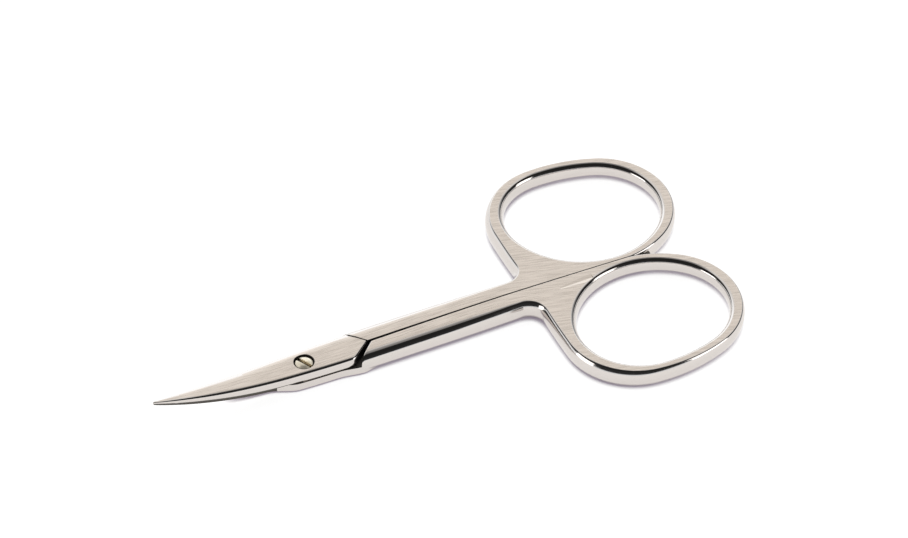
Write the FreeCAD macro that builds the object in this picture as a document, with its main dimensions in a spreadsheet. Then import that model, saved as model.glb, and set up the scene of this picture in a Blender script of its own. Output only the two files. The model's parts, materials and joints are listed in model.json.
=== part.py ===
import FreeCAD, Part
import math
import os
from collections import namedtuple

import Sketcher
from FreeCAD import Placement, Rotation, Vector

# Cuticle scissors: two forged halves that turn on one slotted screw.
# Each half is drawn with the pivot axis on Z, its finger ring on the +Y side and its own blade above
# the contact plane Z = 0. The lower half is then turned over about X, so its ring comes to -Y.

# Driving dimensions, in millimetres and degrees
SIZES = [
    ("blade_reach", 24.0, "pivot axis to the tips"),
    ("tip_rise", 3.2, "height of the blades' contact face at the tips"),
    ("tip_thickness", 0.5, "thickness of one blade at its tip"),
    ("tip_width", 0.3, "width of one blade at its tip"),
    ("bend_start", 2.7, "pivot axis to where the blades start to bend up"),
    ("lap_rear", 6.7, "pivot axis to the rear corner of the lap"),
    ("lap_half_width", 2.6, "axis to the back of the blade, at the lap's rear corner"),
    ("cutting_inset", 0.3, "how far a cutting edge stays inside the other blade's back"),
    ("back_fillet", 0.25, "rounding of the blade's back edge"),
    ("layer_gap", 0.06, "running gap between the two lap faces"),
    ("face_step", 0.12, "how far the lap's outer face lies below the shank's"),
    ("shank_thickness", 3.5, "thickness of a shank between its ground faces"),
    ("shank_half_width", 3.45, "axis to the side of a shank"),
    ("side_bulge", 0.75, "how far the rounded sides stand out past the ground faces"),
    ("shoulder_x", 10.4, "pivot axis to the point of the V-shaped shoulder"),
    ("shoulder_lean", 39.0, "angle of the shoulder from square"),
    ("shoulder_gap", 0.35, "gap between the lap's point and the other half's shoulder"),
    ("seam_gap_front", 0.36, "gap between the shanks at the shoulder"),
    ("seam_gap_rear", 0.08, "gap between the shanks where the rings meet"),
    ("neck_half_width", 3.1, "axis to the side of the shank at its neck"),
    ("neck_radius", 10.0, "curve that leads into the neck"),
    ("crotch_radius", 2.3, "hollow corner between shank and ring"),
    ("ring_front", 36.9, "pivot axis to the front of the rings"),
    ("front_corner_x", 48.1, "centre of the ring's front corner"),
    ("front_corner_y", 12.8, "centre of the ring's front corner"),
    ("far_side_radius", 26.7, "curve of the ring's far side"),
    ("rear_corner_x", 54.65, "centre of the ring's rear corner"),
    ("rear_corner_radius", 11.35, "ring's rear corner"),
    ("rear_corner_lift", 0.35, "axis to the lowest point of the rear corner's circle"),
    ("near_side_radius", 17.0, "curve of the ring's near side"),
    ("ring_overlap", 0.55, "how far the ring's full outline would pass the axis"),
    ("hole_shift", 0.9, "how far the hole's front corner sits behind the ring's"),
    ("far_bar", 2.05, "width of the ring's bar at the far side"),
    ("rear_bar", 1.9, "width of the ring's bar at the rear"),
    ("seam_bar", 1.4, "axis to the lowest point of the finger hole"),
    ("grind_start", 33.0, "pivot axis to where the rings start to thin"),
    ("ring_thickness", 2.4, "thickness at the rear end of the rings"),
    ("head_diameter", 3.1, "screw head"),
    ("head_rim", 0.15, "straight rim of the screw head"),
    ("head_recess", 0.1, "how deep the head lies below the lap's face"),
    ("head_cone", 0.5, "height of the head's cone"),
    ("head_clearance", 0.12, "gap round the screw head"),
    ("pivot_diameter", 2.1, "plain part of the screw"),
    ("pivot_clearance", 0.03, "running clearance round the plain part"),
    ("thread_diameter", 1.8, "screw thread"),
    ("thread_clearance", 0.02, "clearance round the thread"),
    ("slot_width", 0.5, "screwdriver slot"),
    ("slot_depth", 0.4, "screwdriver slot"),
    ("slot_angle", 61.0, "turn of the slot from the length of the scissors"),
]

# Working allowances: how far a blank or a cutter runs past the finished face
ALLOWANCE = [
    ("blank_margin", 0.5, "left on the blank outside its finished edge"),
    ("cutter_margin", 1.0, "reach of a cutter outside the finished edge"),
    ("cutter_over", 0.15, "reach of a cutter past the ground faces"),
]

doc = FreeCAD.newDocument("cuticle_scissors")
sheet = doc.addObject("Spreadsheet::Sheet", "Sizes")
for row, (alias, value, meaning) in enumerate(SIZES + ALLOWANCE, start=1):
    sheet.set("A%d" % row, alias)
    sheet.set("B%d" % row, str(value))
    sheet.set("C%d" % row, meaning)
    sheet.setAlias("B%d" % row, alias)
doc.recompute()

Size = namedtuple("Size", [alias for alias, value, meaning in SIZES + ALLOWANCE])
size = Size(*[float(sheet.get(alias)) for alias in Size._fields])

# Values that follow from the driving dimensions
half_thickness = size.shank_thickness / 2
lap_face = half_thickness - size.face_step
contact = size.layer_gap / 2
side_radius = (half_thickness ** 2 + size.side_bulge ** 2) / (2 * size.side_bulge)
crotch_y = size.neck_half_width + size.crotch_radius
front_radius = size.front_corner_x - size.ring_front
rear_corner_y = size.rear_corner_radius + size.rear_corner_lift
ring_end = size.rear_corner_x + size.rear_corner_radius

# The same values as formulas over the sheet's cells
HALF = "Sizes.shank_thickness / 2"
LAP_FACE = HALF + " - Sizes.face_step"
SIDE_RADIUS = ("((Sizes.shank_thickness / 2) ^ 2 + Sizes.side_bulge ^ 2)"
               " / (2 * Sizes.side_bulge)")
RING_END = "Sizes.rear_corner_x + Sizes.rear_corner_radius"
REAR_CORNER_Y = "Sizes.rear_corner_radius + Sizes.rear_corner_lift"
MIDDLE = "(Sizes.blade_reach - " + RING_END.replace(" + ", " - ") + ") / 2"


# Sketch helpers

def plane(body, role):
    """The body's own origin plane of that role."""
    return next(part for part in body.Origin.OriginFeatures if part.Role == role)


def new_sketch(body, name, role):
    """An empty sketch on one of the body's origin planes."""
    sketch = body.newObject("Sketcher::SketchObject", name)
    sketch.AttachmentSupport = (plane(body, role), [""])
    sketch.MapMode = "FlatFace"
    return sketch


Piece = namedtuple("Piece", "index first last")


def add_line(sketch, start, end):
    """A straight piece from start to end."""
    segment = Part.LineSegment(Vector(*start, 0), Vector(*end, 0))
    return Piece(sketch.addGeometry(segment), 1, 2)


def add_arc(sketch, centre, start, end, clockwise=False):
    """A round piece about centre from start to end."""
    radius = math.dist(centre, start)
    circle = Part.Circle(Vector(*centre, 0), Vector(0, 0, 1), radius)
    first = math.atan2(start[1] - centre[1], start[0] - centre[0])
    last = math.atan2(end[1] - centre[1], end[0] - centre[0])
    if clockwise:
        first, last = last, first
    while last <= first:
        last += 2 * math.pi
    index = sketch.addGeometry(Part.ArcOfCircle(circle, first, last))
    return Piece(index, 2, 1) if clockwise else Piece(index, 1, 2)


def join(sketch, pieces, closed=False, smooth=True):
    """Ties each piece to the next one, tangent where smooth, and the last to the first where closed."""
    pairs = list(zip(pieces, pieces[1:]))
    if closed:
        pairs.append((pieces[-1], pieces[0]))
    kind = "Tangent" if smooth else "Coincident"
    for one, two in pairs:
        sketch.addConstraint(Sketcher.Constraint(kind, one.index, one.last, two.index, two.first))


def bind(sketch, kind, place, formula):
    """A dimension of the sketch, read from the geometry and bound to a formula over the sheet."""
    index, point = place
    if kind == "Radius":
        value = sketch.Geometry[index].Radius
        number = sketch.addConstraint(Sketcher.Constraint(kind, index, value))
    else:
        where = sketch.getPoint(index, point)
        value = where.x if kind == "DistanceX" else where.y
        number = sketch.addConstraint(Sketcher.Constraint(kind, -1, 1, index, point, value))
    sketch.setExpression("Constraints[%d]" % number, formula)


def bind_point(sketch, place, x_formula, y_formula):
    """Both coordinates of a point."""
    bind(sketch, "DistanceX", place, x_formula)
    bind(sketch, "DistanceY", place, y_formula)


def polygon(sketch, points, formulas):
    """A closed outline of straight pieces with every corner bound."""
    pieces = [add_line(sketch, one, two) for one, two in zip(points, points[1:] + points[:1])]
    join(sketch, pieces, closed=True, smooth=False)
    for piece, (x_formula, y_formula) in zip(pieces, formulas):
        bind_point(sketch, (piece.index, piece.first), x_formula, y_formula)
    return pieces


def touch(centre, radius, other):
    """The point of a circle that faces away from another centre: where two nested circles touch."""
    length = math.dist(centre, other)
    return (centre[0] + (centre[0] - other[0]) * radius / length,
            centre[1] + (centre[1] - other[1]) * radius / length)


def side_centre(one, one_radius, two, two_radius, radius):
    """Centre of the arc of a given radius that runs round two circles, taken counter-clockwise."""
    length = math.dist(one, two)
    reach_one = radius - one_radius
    reach_two = radius - two_radius
    along = (reach_one ** 2 - reach_two ** 2 + length ** 2) / (2 * length)
    across = math.sqrt(reach_one ** 2 - along ** 2)
    run_x = (two[0] - one[0]) / length
    run_y = (two[1] - one[1]) / length
    return (one[0] + along * run_x - across * run_y, one[1] + along * run_y + across * run_x)


def low_centre(one, one_radius, two, two_radius, low):
    """Centre of the arc that runs round two circles and whose lowest point lies at a given height.

    A centre that suits one circle lies on a parabola, so the two circles give two parabolas that cross.
    """
    bend_one = one[1] - one_radius - low
    bend_two = two[1] - two_radius - low
    flat = 1 / bend_one - 1 / bend_two
    slope = -2 * (one[0] / bend_one - two[0] / bend_two)
    rest = one[0] ** 2 / bend_one - two[0] ** 2 / bend_two + one[1] + one_radius - two[1] - two_radius
    root = math.sqrt(slope ** 2 - 4 * flat * rest)
    crossings = [(-slope + root) / (2 * flat), (-slope - root) / (2 * flat)]
    x = min(crossings, key=lambda crossing: abs(crossing - (one[0] + two[0]) / 2))
    y = (low + one_radius + one[1]) / 2 + (x - one[0]) ** 2 / (2 * bend_one)
    return (x, y)


# Outline of the handle

FRONT_CORNER = (size.front_corner_x, size.front_corner_y)
REAR_CORNER = (size.rear_corner_x, rear_corner_y)
HOLE_CORNER = (size.front_corner_x + size.hole_shift, size.front_corner_y)
CROTCH = (size.ring_front - size.crotch_radius, crotch_y)
NECK_Y = size.shank_half_width - size.neck_radius
NECK_RUN = math.sqrt((size.neck_radius + size.crotch_radius) ** 2 - (crotch_y - NECK_Y) ** 2)
NECK = (CROTCH[0] - NECK_RUN, NECK_Y)
FAR_SIDE = side_centre(REAR_CORNER, size.rear_corner_radius, FRONT_CORNER, front_radius,
                       size.far_side_radius)
NEAR_Y = size.near_side_radius - size.ring_overlap
NEAR_REACH = size.near_side_radius - size.rear_corner_radius
NEAR_SIDE = (size.rear_corner_x - math.sqrt(NEAR_REACH ** 2 - (NEAR_Y - rear_corner_y) ** 2), NEAR_Y)


def shoulder_at(y):
    """Where the shoulder's slanting face stands at a distance from the axis."""
    return size.shoulder_x - y * math.tan(math.radians(size.shoulder_lean))


def draw_side(sketch, start_x, margin, plus, end):
    """The handle's outer side, from the shoulder round the ring to the seam, margin outside its finish."""
    shank_y = size.shank_half_width + margin
    front_x = size.ring_front - margin
    turn = math.atan2(CROTCH[1] - NECK[1], CROTCH[0] - NECK[0])
    bend = size.neck_radius + margin
    neck_end = (NECK[0] + bend * math.cos(turn), NECK[1] + bend * math.sin(turn))
    front_top = touch(FRONT_CORNER, front_radius + margin, FAR_SIDE)
    rear_top = touch(REAR_CORNER, size.rear_corner_radius + margin, FAR_SIDE)
    rear_low = touch(REAR_CORNER, size.rear_corner_radius + margin, NEAR_SIDE)
    shank = add_line(sketch, (start_x, shank_y), (NECK[0], shank_y))
    neck = add_arc(sketch, NECK, (NECK[0], shank_y), neck_end, clockwise=True)
    crotch = add_arc(sketch, CROTCH, neck_end, (front_x, CROTCH[1]))
    front = add_line(sketch, (front_x, CROTCH[1]), (front_x, FRONT_CORNER[1]))
    front_corner = add_arc(sketch, FRONT_CORNER, (front_x, FRONT_CORNER[1]), front_top, clockwise=True)
    far_side = add_arc(sketch, FAR_SIDE, front_top, rear_top, clockwise=True)
    rear_corner = add_arc(sketch, REAR_CORNER, rear_top, rear_low, clockwise=True)
    near_side = add_arc(sketch, NEAR_SIDE, rear_low, end, clockwise=True)
    pieces = [shank, neck, crotch, front, front_corner, far_side, rear_corner, near_side]
    join(sketch, pieces)
    sketch.addConstraint(Sketcher.Constraint("Horizontal", shank.index))
    sketch.addConstraint(Sketcher.Constraint("Vertical", front.index))
    minus = plus.replace("+", "-")
    bind(sketch, "DistanceY", (shank.index, 1), "Sizes.shank_half_width" + plus)
    bind(sketch, "Radius", (neck.index, 0), "Sizes.neck_radius" + plus)
    bind(sketch, "Radius", (crotch.index, 0), "Sizes.crotch_radius" + minus)
    bind(sketch, "DistanceY", (crotch.index, 3), "Sizes.neck_half_width + Sizes.crotch_radius")
    bind(sketch, "DistanceX", (front.index, 1), "Sizes.ring_front" + minus)
    bind(sketch, "Radius", (far_side.index, 0), "Sizes.far_side_radius" + plus)
    bind(sketch, "Radius", (rear_corner.index, 0), "Sizes.rear_corner_radius" + plus)
    bind(sketch, "Radius", (near_side.index, 0), "Sizes.near_side_radius" + plus)
    bind_point(sketch, (front_corner.index, 3), "Sizes.front_corner_x", "Sizes.front_corner_y")
    bind_point(sketch, (rear_corner.index, 3), "Sizes.rear_corner_x", REAR_CORNER_Y)
    bind(sketch, "DistanceY", (near_side.index, 3), "Sizes.near_side_radius - Sizes.ring_overlap")
    return pieces


def draw_hole(sketch, margin, minus):
    """The finger hole's edge, margin inside its finish, starting at its lowest point."""
    front_hole = front_radius - size.far_bar
    rear_hole = size.rear_corner_radius - size.rear_bar
    near_side = low_centre(HOLE_CORNER, front_hole, REAR_CORNER, rear_hole, size.seam_bar)
    far_radius = size.far_side_radius - size.far_bar
    far_side = side_centre(REAR_CORNER, rear_hole, HOLE_CORNER, front_hole, far_radius)
    lowest = (near_side[0], size.seam_bar + margin)
    stops = [
        lowest,
        touch(REAR_CORNER, rear_hole - margin, near_side),
        touch(REAR_CORNER, rear_hole - margin, far_side),
        touch(HOLE_CORNER, front_hole - margin, far_side),
        touch(HOLE_CORNER, front_hole - margin, near_side),
        lowest,
    ]
    centres = [near_side, REAR_CORNER, far_side, HOLE_CORNER, near_side]
    pieces = [add_arc(sketch, centre, one, two) for centre, one, two in zip(centres, stops, stops[1:])]
    join(sketch, pieces)
    first, rear, far_run, front, last = pieces
    sketch.addConstraint(Sketcher.Constraint("Coincident", first.index, 3, last.index, 3))
    sketch.addConstraint(Sketcher.Constraint("Coincident", last.index, 2, first.index, 1))
    sketch.addConstraint(Sketcher.Constraint("Vertical", first.index, 3, first.index, 1))
    bind(sketch, "DistanceY", (first.index, 1), "Sizes.seam_bar" + minus.replace("-", "+"))
    bind_point(sketch, (rear.index, 3), "Sizes.rear_corner_x", REAR_CORNER_Y)
    bind_point(sketch, (front.index, 3), "Sizes.front_corner_x + Sizes.hole_shift", "Sizes.front_corner_y")
    bind(sketch, "Radius", (rear.index, 0), "Sizes.rear_corner_radius - Sizes.rear_bar" + minus)
    bind(sketch, "Radius", (front.index, 0),
         "Sizes.front_corner_x - Sizes.ring_front - Sizes.far_bar" + minus)
    bind(sketch, "Radius", (far_run.index, 0), "Sizes.far_side_radius - Sizes.far_bar" + minus)


# Features of one half

def symmetric(feature, formula):
    """Runs a pad or pocket the same way to both sides of its sketch."""
    feature.SideType = "Symmetric"
    feature.setExpression("Length", formula)


def lap_and_blade(body, curve):
    """The lap and its blade: a bent layer, trimmed to its plan.

    curve is +1 where the blade bends away from the contact plane and -1 where it bends towards it.
    """
    length = size.blade_reach - size.bend_start
    tip_contact = contact + curve * size.tip_rise
    tip_back = tip_contact + size.tip_thickness
    rise = tip_back - lap_face
    contact_radius = (length ** 2 + size.tip_rise ** 2) / (2 * size.tip_rise)
    back_radius = (length ** 2 + rise ** 2) / (2 * rise)
    rear = size.shoulder_x
    bend = -size.bend_start
    tip = -size.blade_reach
    side = new_sketch(body, "lap_side", "XZ_Plane")
    inner = add_line(side, (rear, contact), (bend, contact))
    under = add_arc(side, (bend, contact + curve * contact_radius), (bend, contact), (tip, tip_contact),
                    clockwise=curve > 0)
    end = add_line(side, (tip, tip_contact), (tip, tip_back))
    back = add_arc(side, (bend, lap_face + back_radius), (tip, tip_back), (bend, lap_face),
                   clockwise=rise < 0)
    outer = add_line(side, (bend, lap_face), (rear, lap_face))
    close = add_line(side, (rear, lap_face), (rear, contact))
    join(side, [inner, under])
    join(side, [back, outer])
    join(side, [under, end, back], smooth=False)
    join(side, [outer, close, inner], smooth=False)
    bind_point(side, (inner.index, 1), "Sizes.shoulder_x", "Sizes.layer_gap / 2")
    bind_point(side, (inner.index, 2), "-Sizes.bend_start", "Sizes.layer_gap / 2")
    sign = "+" if curve > 0 else "-"
    tip_formula = "Sizes.layer_gap / 2 %s Sizes.tip_rise" % sign
    bind_point(side, (end.index, 1), "-Sizes.blade_reach", tip_formula)
    bind_point(side, (end.index, 2), "-Sizes.blade_reach", tip_formula + " + Sizes.tip_thickness")
    bind_point(side, (outer.index, 1), "-Sizes.bend_start", LAP_FACE)
    bind_point(side, (outer.index, 2), "Sizes.shoulder_x", LAP_FACE)
    layer = body.newObject("PartDesign::Pad", "layer")
    layer.Profile = side
    symmetric(layer, "2 * (Sizes.lap_half_width + Sizes.cutter_margin)")
    trim = new_sketch(body, "lap_plan", "XY_Plane")
    draw_lap_plan(trim)
    plan = body.newObject("PartDesign::Pocket", "trim")
    plan.Profile = trim
    plan.Type = "ThroughAll"
    plan.SideType = "Symmetric"
    doc.recompute()
    fillet = body.newObject("PartDesign::Fillet", "back_edge")
    fillet.Base = (plan, back_edges(plan.Shape))
    fillet.setExpression("Radius", "Sizes.back_fillet")
    doc.recompute()


def back_edges(shape):
    """Names of the edges along the blade's back, where its outer face meets its side.

    Such an edge stays on the back's side of the axis, lies on the outer face as far as that is flat, and
    has no material just above its middle.
    """
    names = []
    for number, edge in enumerate(shape.Edges, start=1):
        start, middle, end = edge.discretize(Number=3)
        above = Part.Vertex(middle + Vector(0, 0, size.back_fillet))
        along_back = max(start.y, middle.y, end.y) < -size.tip_width / 2
        long_run = abs(start.x - end.x) > size.bend_start
        flat_part = [point for point in (start, middle, end) if point.x > -size.bend_start]
        on_face = all(abs(point.z - lap_face) < size.back_fillet for point in flat_part)
        clear_above = shape.distToShape(above)[0] > size.back_fillet / 2
        if along_back and long_run and on_face and clear_above:
            names.append("Edge%d" % number)
    return names


def draw_lap_plan(sketch):
    """Everything outside the lap and blade, seen from above: a frame with the outline as its window."""
    reach = size.blade_reach
    margin = 2 * size.cutter_margin
    far_x = size.shoulder_x + margin
    far_y = size.lap_half_width + margin
    tip_x = -reach - margin
    frame = [(tip_x, -far_y), (far_x, -far_y), (far_x, far_y), (tip_x, far_y)]
    left = "-Sizes.blade_reach - 2 * Sizes.cutter_margin"
    right = "Sizes.shoulder_x + 2 * Sizes.cutter_margin"
    high = "Sizes.lap_half_width + 2 * Sizes.cutter_margin"
    low = "-(%s)" % high
    polygon(sketch, frame, [(left, low), (right, low), (right, high), (left, high)])
    edge_y = size.lap_half_width - size.cutting_inset
    rear = (size.lap_rear, -size.lap_half_width)
    tip_back = (-reach, -size.tip_width)
    tip_edge = (-reach, 0.0)
    edge_rear = (size.lap_rear, edge_y)
    inside = (size.shoulder_x, edge_y)
    point = (size.shoulder_x - size.shoulder_gap, size.seam_gap_front / 2)
    run = reach + size.lap_rear
    back_drop = size.lap_half_width - size.tip_width
    back_radius = (run ** 2 + back_drop ** 2) / (2 * back_drop)
    edge_radius = (run ** 2 + edge_y ** 2) / (2 * edge_y)
    pieces = [
        add_arc(sketch, (size.lap_rear, back_radius - size.lap_half_width), rear, tip_back, clockwise=True),
        add_line(sketch, tip_back, tip_edge),
        add_arc(sketch, (size.lap_rear, edge_y - edge_radius), tip_edge, edge_rear, clockwise=True),
        add_line(sketch, edge_rear, inside),
        add_line(sketch, inside, point),
        add_line(sketch, point, rear),
    ]
    join(sketch, pieces, closed=True, smooth=False)
    back, tip, edge, run_in, cross, rear_face = pieces
    bind_point(sketch, (back.index, back.first), "Sizes.lap_rear", "-Sizes.lap_half_width")
    bind(sketch, "DistanceX", (back.index, 3), "Sizes.lap_rear")
    bind_point(sketch, (tip.index, 1), "-Sizes.blade_reach", "-Sizes.tip_width")
    bind_point(sketch, (tip.index, 2), "-Sizes.blade_reach", "0")
    edge_formula = "Sizes.lap_half_width - Sizes.cutting_inset"
    point_formula = "Sizes.shoulder_x - Sizes.shoulder_gap"
    bind_point(sketch, (run_in.index, 1), "Sizes.lap_rear", edge_formula)
    bind(sketch, "DistanceX", (edge.index, 3), "Sizes.lap_rear")
    bind_point(sketch, (cross.index, 1), "Sizes.shoulder_x", edge_formula)
    bind_point(sketch, (cross.index, 2), point_formula, "Sizes.seam_gap_front / 2")


def handle_blank(body):
    """The handle as a flat blank, a little larger than its finish outside, straight along the seam."""
    sketch = new_sketch(body, "handle_plan", "XY_Plane")
    shank_y = size.shank_half_width + size.blank_margin
    top = (shoulder_at(shank_y), shank_y)
    seam_front = (shoulder_at(size.seam_gap_front / 2), size.seam_gap_front / 2)
    radius = size.near_side_radius + size.blank_margin
    seam_y = size.seam_gap_rear / 2
    seam_rear = (NEAR_SIDE[0] + math.sqrt(radius ** 2 - (NEAR_SIDE[1] - seam_y) ** 2), seam_y)
    pieces = draw_side(sketch, top[0], size.blank_margin, " + Sizes.blank_margin", seam_rear)
    seam = add_line(sketch, seam_rear, seam_front)
    shoulder = add_line(sketch, seam_front, top)
    join(sketch, [pieces[-1], seam, shoulder, pieces[0]], smooth=False)
    lean = "tan(Sizes.shoulder_lean * 1 deg)"
    bind(sketch, "DistanceX", (pieces[0].index, 1),
         "Sizes.shoulder_x - (Sizes.shank_half_width + Sizes.blank_margin) * " + lean)
    bind(sketch, "DistanceY", (seam.index, 1), "Sizes.seam_gap_rear / 2")
    bind_point(sketch, (shoulder.index, 1), "Sizes.shoulder_x - Sizes.seam_gap_front / 2 * " + lean,
               "Sizes.seam_gap_front / 2")
    blank = body.newObject("PartDesign::Pad", "handle")
    blank.Profile = sketch
    symmetric(blank, "Sizes.shank_thickness")


def draw_cutter(sketch, edge, away, edge_formula):
    """Section of the cutter that leaves a rounded side: the room outside an arc through the edge."""
    over = half_thickness + size.cutter_over
    centre = (edge - away * side_radius, 0.0)
    inset = away * math.sqrt(side_radius ** 2 - over ** 2)
    low = (centre[0] + inset, -over)
    high = (centre[0] + inset, over)
    out = edge + away * size.cutter_margin
    arc = add_arc(sketch, centre, low, high, clockwise=away < 0)
    top = add_line(sketch, high, (out, over))
    outside = add_line(sketch, (out, over), (out, -over))
    bottom = add_line(sketch, (out, -over), low)
    join(sketch, [arc, top, outside, bottom], closed=True, smooth=False)
    sign = "-" if away > 0 else "+"
    other = "+" if away > 0 else "-"
    out_formula = "%s %s Sizes.cutter_margin" % (edge_formula, other)
    over_formula = HALF + " + Sizes.cutter_over"
    bind(sketch, "Radius", (arc.index, 0), SIDE_RADIUS)
    bind_point(sketch, (arc.index, 3), "%s %s %s" % (edge_formula, sign, SIDE_RADIUS), "0")
    bind(sketch, "DistanceY", (top.index, 1), over_formula)
    bind_point(sketch, (outside.index, 1), out_formula, over_formula)
    bind_point(sketch, (outside.index, 2), out_formula, "-(%s)" % over_formula)
    bind(sketch, "DistanceY", (bottom.index, 2), "-(%s)" % over_formula)


def round_side(body, path, name, station, station_formula, edge, away, edge_formula):
    """Cuts a rounded side along a path that starts square to X at the station."""
    section = new_sketch(body, name + "_section", "YZ_Plane")
    section.AttachmentOffset = Placement(Vector(0, 0, station), Rotation())
    section.setExpression("AttachmentOffset.Base.z", station_formula)
    draw_cutter(section, edge, away, edge_formula)
    doc.recompute()
    cut = body.newObject("PartDesign::SubtractivePipe", name)
    cut.Profile = section
    cut.Spine = (path, ["Edge%d" % number for number in range(1, len(path.Shape.Edges) + 1)])
    doc.recompute()


def rounded_outside(body):
    """The handle's outer side, rounded from the shoulder to the seam."""
    path = new_sketch(body, "outer_path", "XY_Plane")
    start = shoulder_at(size.shank_half_width) - size.cutter_margin
    lowest = (NEAR_SIDE[0], -size.ring_overlap)
    pieces = draw_side(path, start, 0.0, "", lowest)
    lean = "tan(Sizes.shoulder_lean * 1 deg)"
    start_formula = "Sizes.shoulder_x - Sizes.shank_half_width * %s - Sizes.cutter_margin" % lean
    bind(path, "DistanceX", (pieces[0].index, 1), start_formula)
    near_side = pieces[-1]
    path.addConstraint(Sketcher.Constraint("Vertical", near_side.index, 3, near_side.index, near_side.last))
    round_side(body, path, "outer_side", start, start_formula,
               size.shank_half_width, 1, "Sizes.shank_half_width")


def finger_hole(body):
    """The finger hole, cut small and then opened to its rounded side."""
    rough = new_sketch(body, "hole_plan", "XY_Plane")
    draw_hole(rough, size.blank_margin, " - Sizes.blank_margin")
    hole = body.newObject("PartDesign::Pocket", "hole")
    hole.Profile = rough
    hole.Type = "ThroughAll"
    hole.SideType = "Symmetric"
    path = new_sketch(body, "hole_path", "XY_Plane")
    draw_hole(path, 0.0, "")
    low_x = path.getPoint(0, 1).x
    measure = path.addConstraint(Sketcher.Constraint("DistanceX", -1, 1, 0, 1, low_x))
    path.setDriving(measure, False)
    path.renameConstraint(measure, "low_x")
    round_side(body, path, "hole_side", low_x, path.Name + ".Constraints.low_x",
               size.seam_bar, 1, "Sizes.seam_bar")


def thin_ring(body):
    """Thins the ring towards its rear end with one slanting cut on each face."""
    end = ring_end + size.cutter_margin
    end_formula = RING_END + " + Sizes.cutter_margin"
    share = (end - size.grind_start) / (ring_end - size.grind_start)
    low = half_thickness - (size.shank_thickness - size.ring_thickness) / 2 * share
    low_formula = ("%s - (Sizes.shank_thickness - Sizes.ring_thickness) / 2 * (%s - Sizes.grind_start)"
                   " / (%s - Sizes.grind_start)" % (HALF, end_formula, RING_END))
    over_formula = HALF + " + Sizes.cutter_margin"
    over = half_thickness + size.cutter_margin
    wedge = new_sketch(body, "thinning", "XZ_Plane")
    for sign, prefix in ((1, ""), (-1, "-")):
        points = [(size.grind_start, sign * half_thickness), (end, sign * low),
                  (end, sign * over), (size.grind_start, sign * over)]
        formulas = [("Sizes.grind_start", "%s(%s)" % (prefix, HALF)),
                    (end_formula, "%s(%s)" % (prefix, low_formula)),
                    (end_formula, "%s(%s)" % (prefix, over_formula)),
                    ("Sizes.grind_start", "%s(%s)" % (prefix, over_formula))]
        polygon(wedge, points, formulas)
    cut = body.newObject("PartDesign::Pocket", "thin")
    cut.Profile = wedge
    cut.Type = "ThroughAll"
    cut.SideType = "Symmetric"


def turned(body, name, kind, points, formulas):
    """A piece or a hole turned about the pivot axis from its half section."""
    sketch = new_sketch(body, name + "_section", "XZ_Plane")
    polygon(sketch, points, formulas)
    feature = body.newObject("PartDesign::" + kind, name)
    feature.Profile = sketch
    feature.ReferenceAxis = (sketch, ["V_Axis"])
    feature.Angle = 360
    return feature


def head_seat(body):
    """The upper half's stepped hole: a bore that turns on the screw and a seat for its head."""
    bore = size.pivot_diameter / 2 + size.pivot_clearance
    seat = size.head_diameter / 2 + size.head_clearance
    cone_low = lap_face - size.head_recess - size.head_rim - size.head_cone - size.head_clearance
    cone_high = cone_low + size.head_cone
    over = half_thickness + size.cutter_margin
    bore_formula = "Sizes.pivot_diameter / 2 + Sizes.pivot_clearance"
    seat_formula = "Sizes.head_diameter / 2 + Sizes.head_clearance"
    high_formula = LAP_FACE + " - Sizes.head_recess - Sizes.head_rim - Sizes.head_clearance"
    over_formula = HALF + " + Sizes.cutter_margin"
    points = [(0.0, -over), (bore, -over), (bore, cone_low), (seat, cone_high), (seat, over), (0.0, over)]
    formulas = [("0", "-(%s)" % over_formula), (bore_formula, "-(%s)" % over_formula),
                (bore_formula, high_formula + " - Sizes.head_cone"), (seat_formula, high_formula),
                (seat_formula, over_formula), ("0", over_formula)]
    turned(body, "head_seat", "Groove", points, formulas)


def thread_hole(body):
    """The lower half's hole for the screw thread."""
    radius = size.thread_diameter / 2 + size.thread_clearance
    over = half_thickness + size.cutter_margin
    radius_formula = "Sizes.thread_diameter / 2 + Sizes.thread_clearance"
    over_formula = HALF + " + Sizes.cutter_margin"
    points = [(0.0, -over), (radius, -over), (radius, over), (0.0, over)]
    formulas = [("0", "-(%s)" % over_formula), (radius_formula, "-(%s)" % over_formula),
                (radius_formula, over_formula), ("0", over_formula)]
    turned(body, "thread_hole", "Groove", points, formulas)


def scissor_half(label, curve, hole):
    """One forged half: lap, blade, shank and ring in one piece."""
    body = doc.addObject("PartDesign::Body", label)
    body.Label = label
    lap_and_blade(body, curve)
    handle_blank(body)
    rounded_outside(body)
    finger_hole(body)
    thin_ring(body)
    hole(body)
    doc.recompute()
    return body


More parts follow.
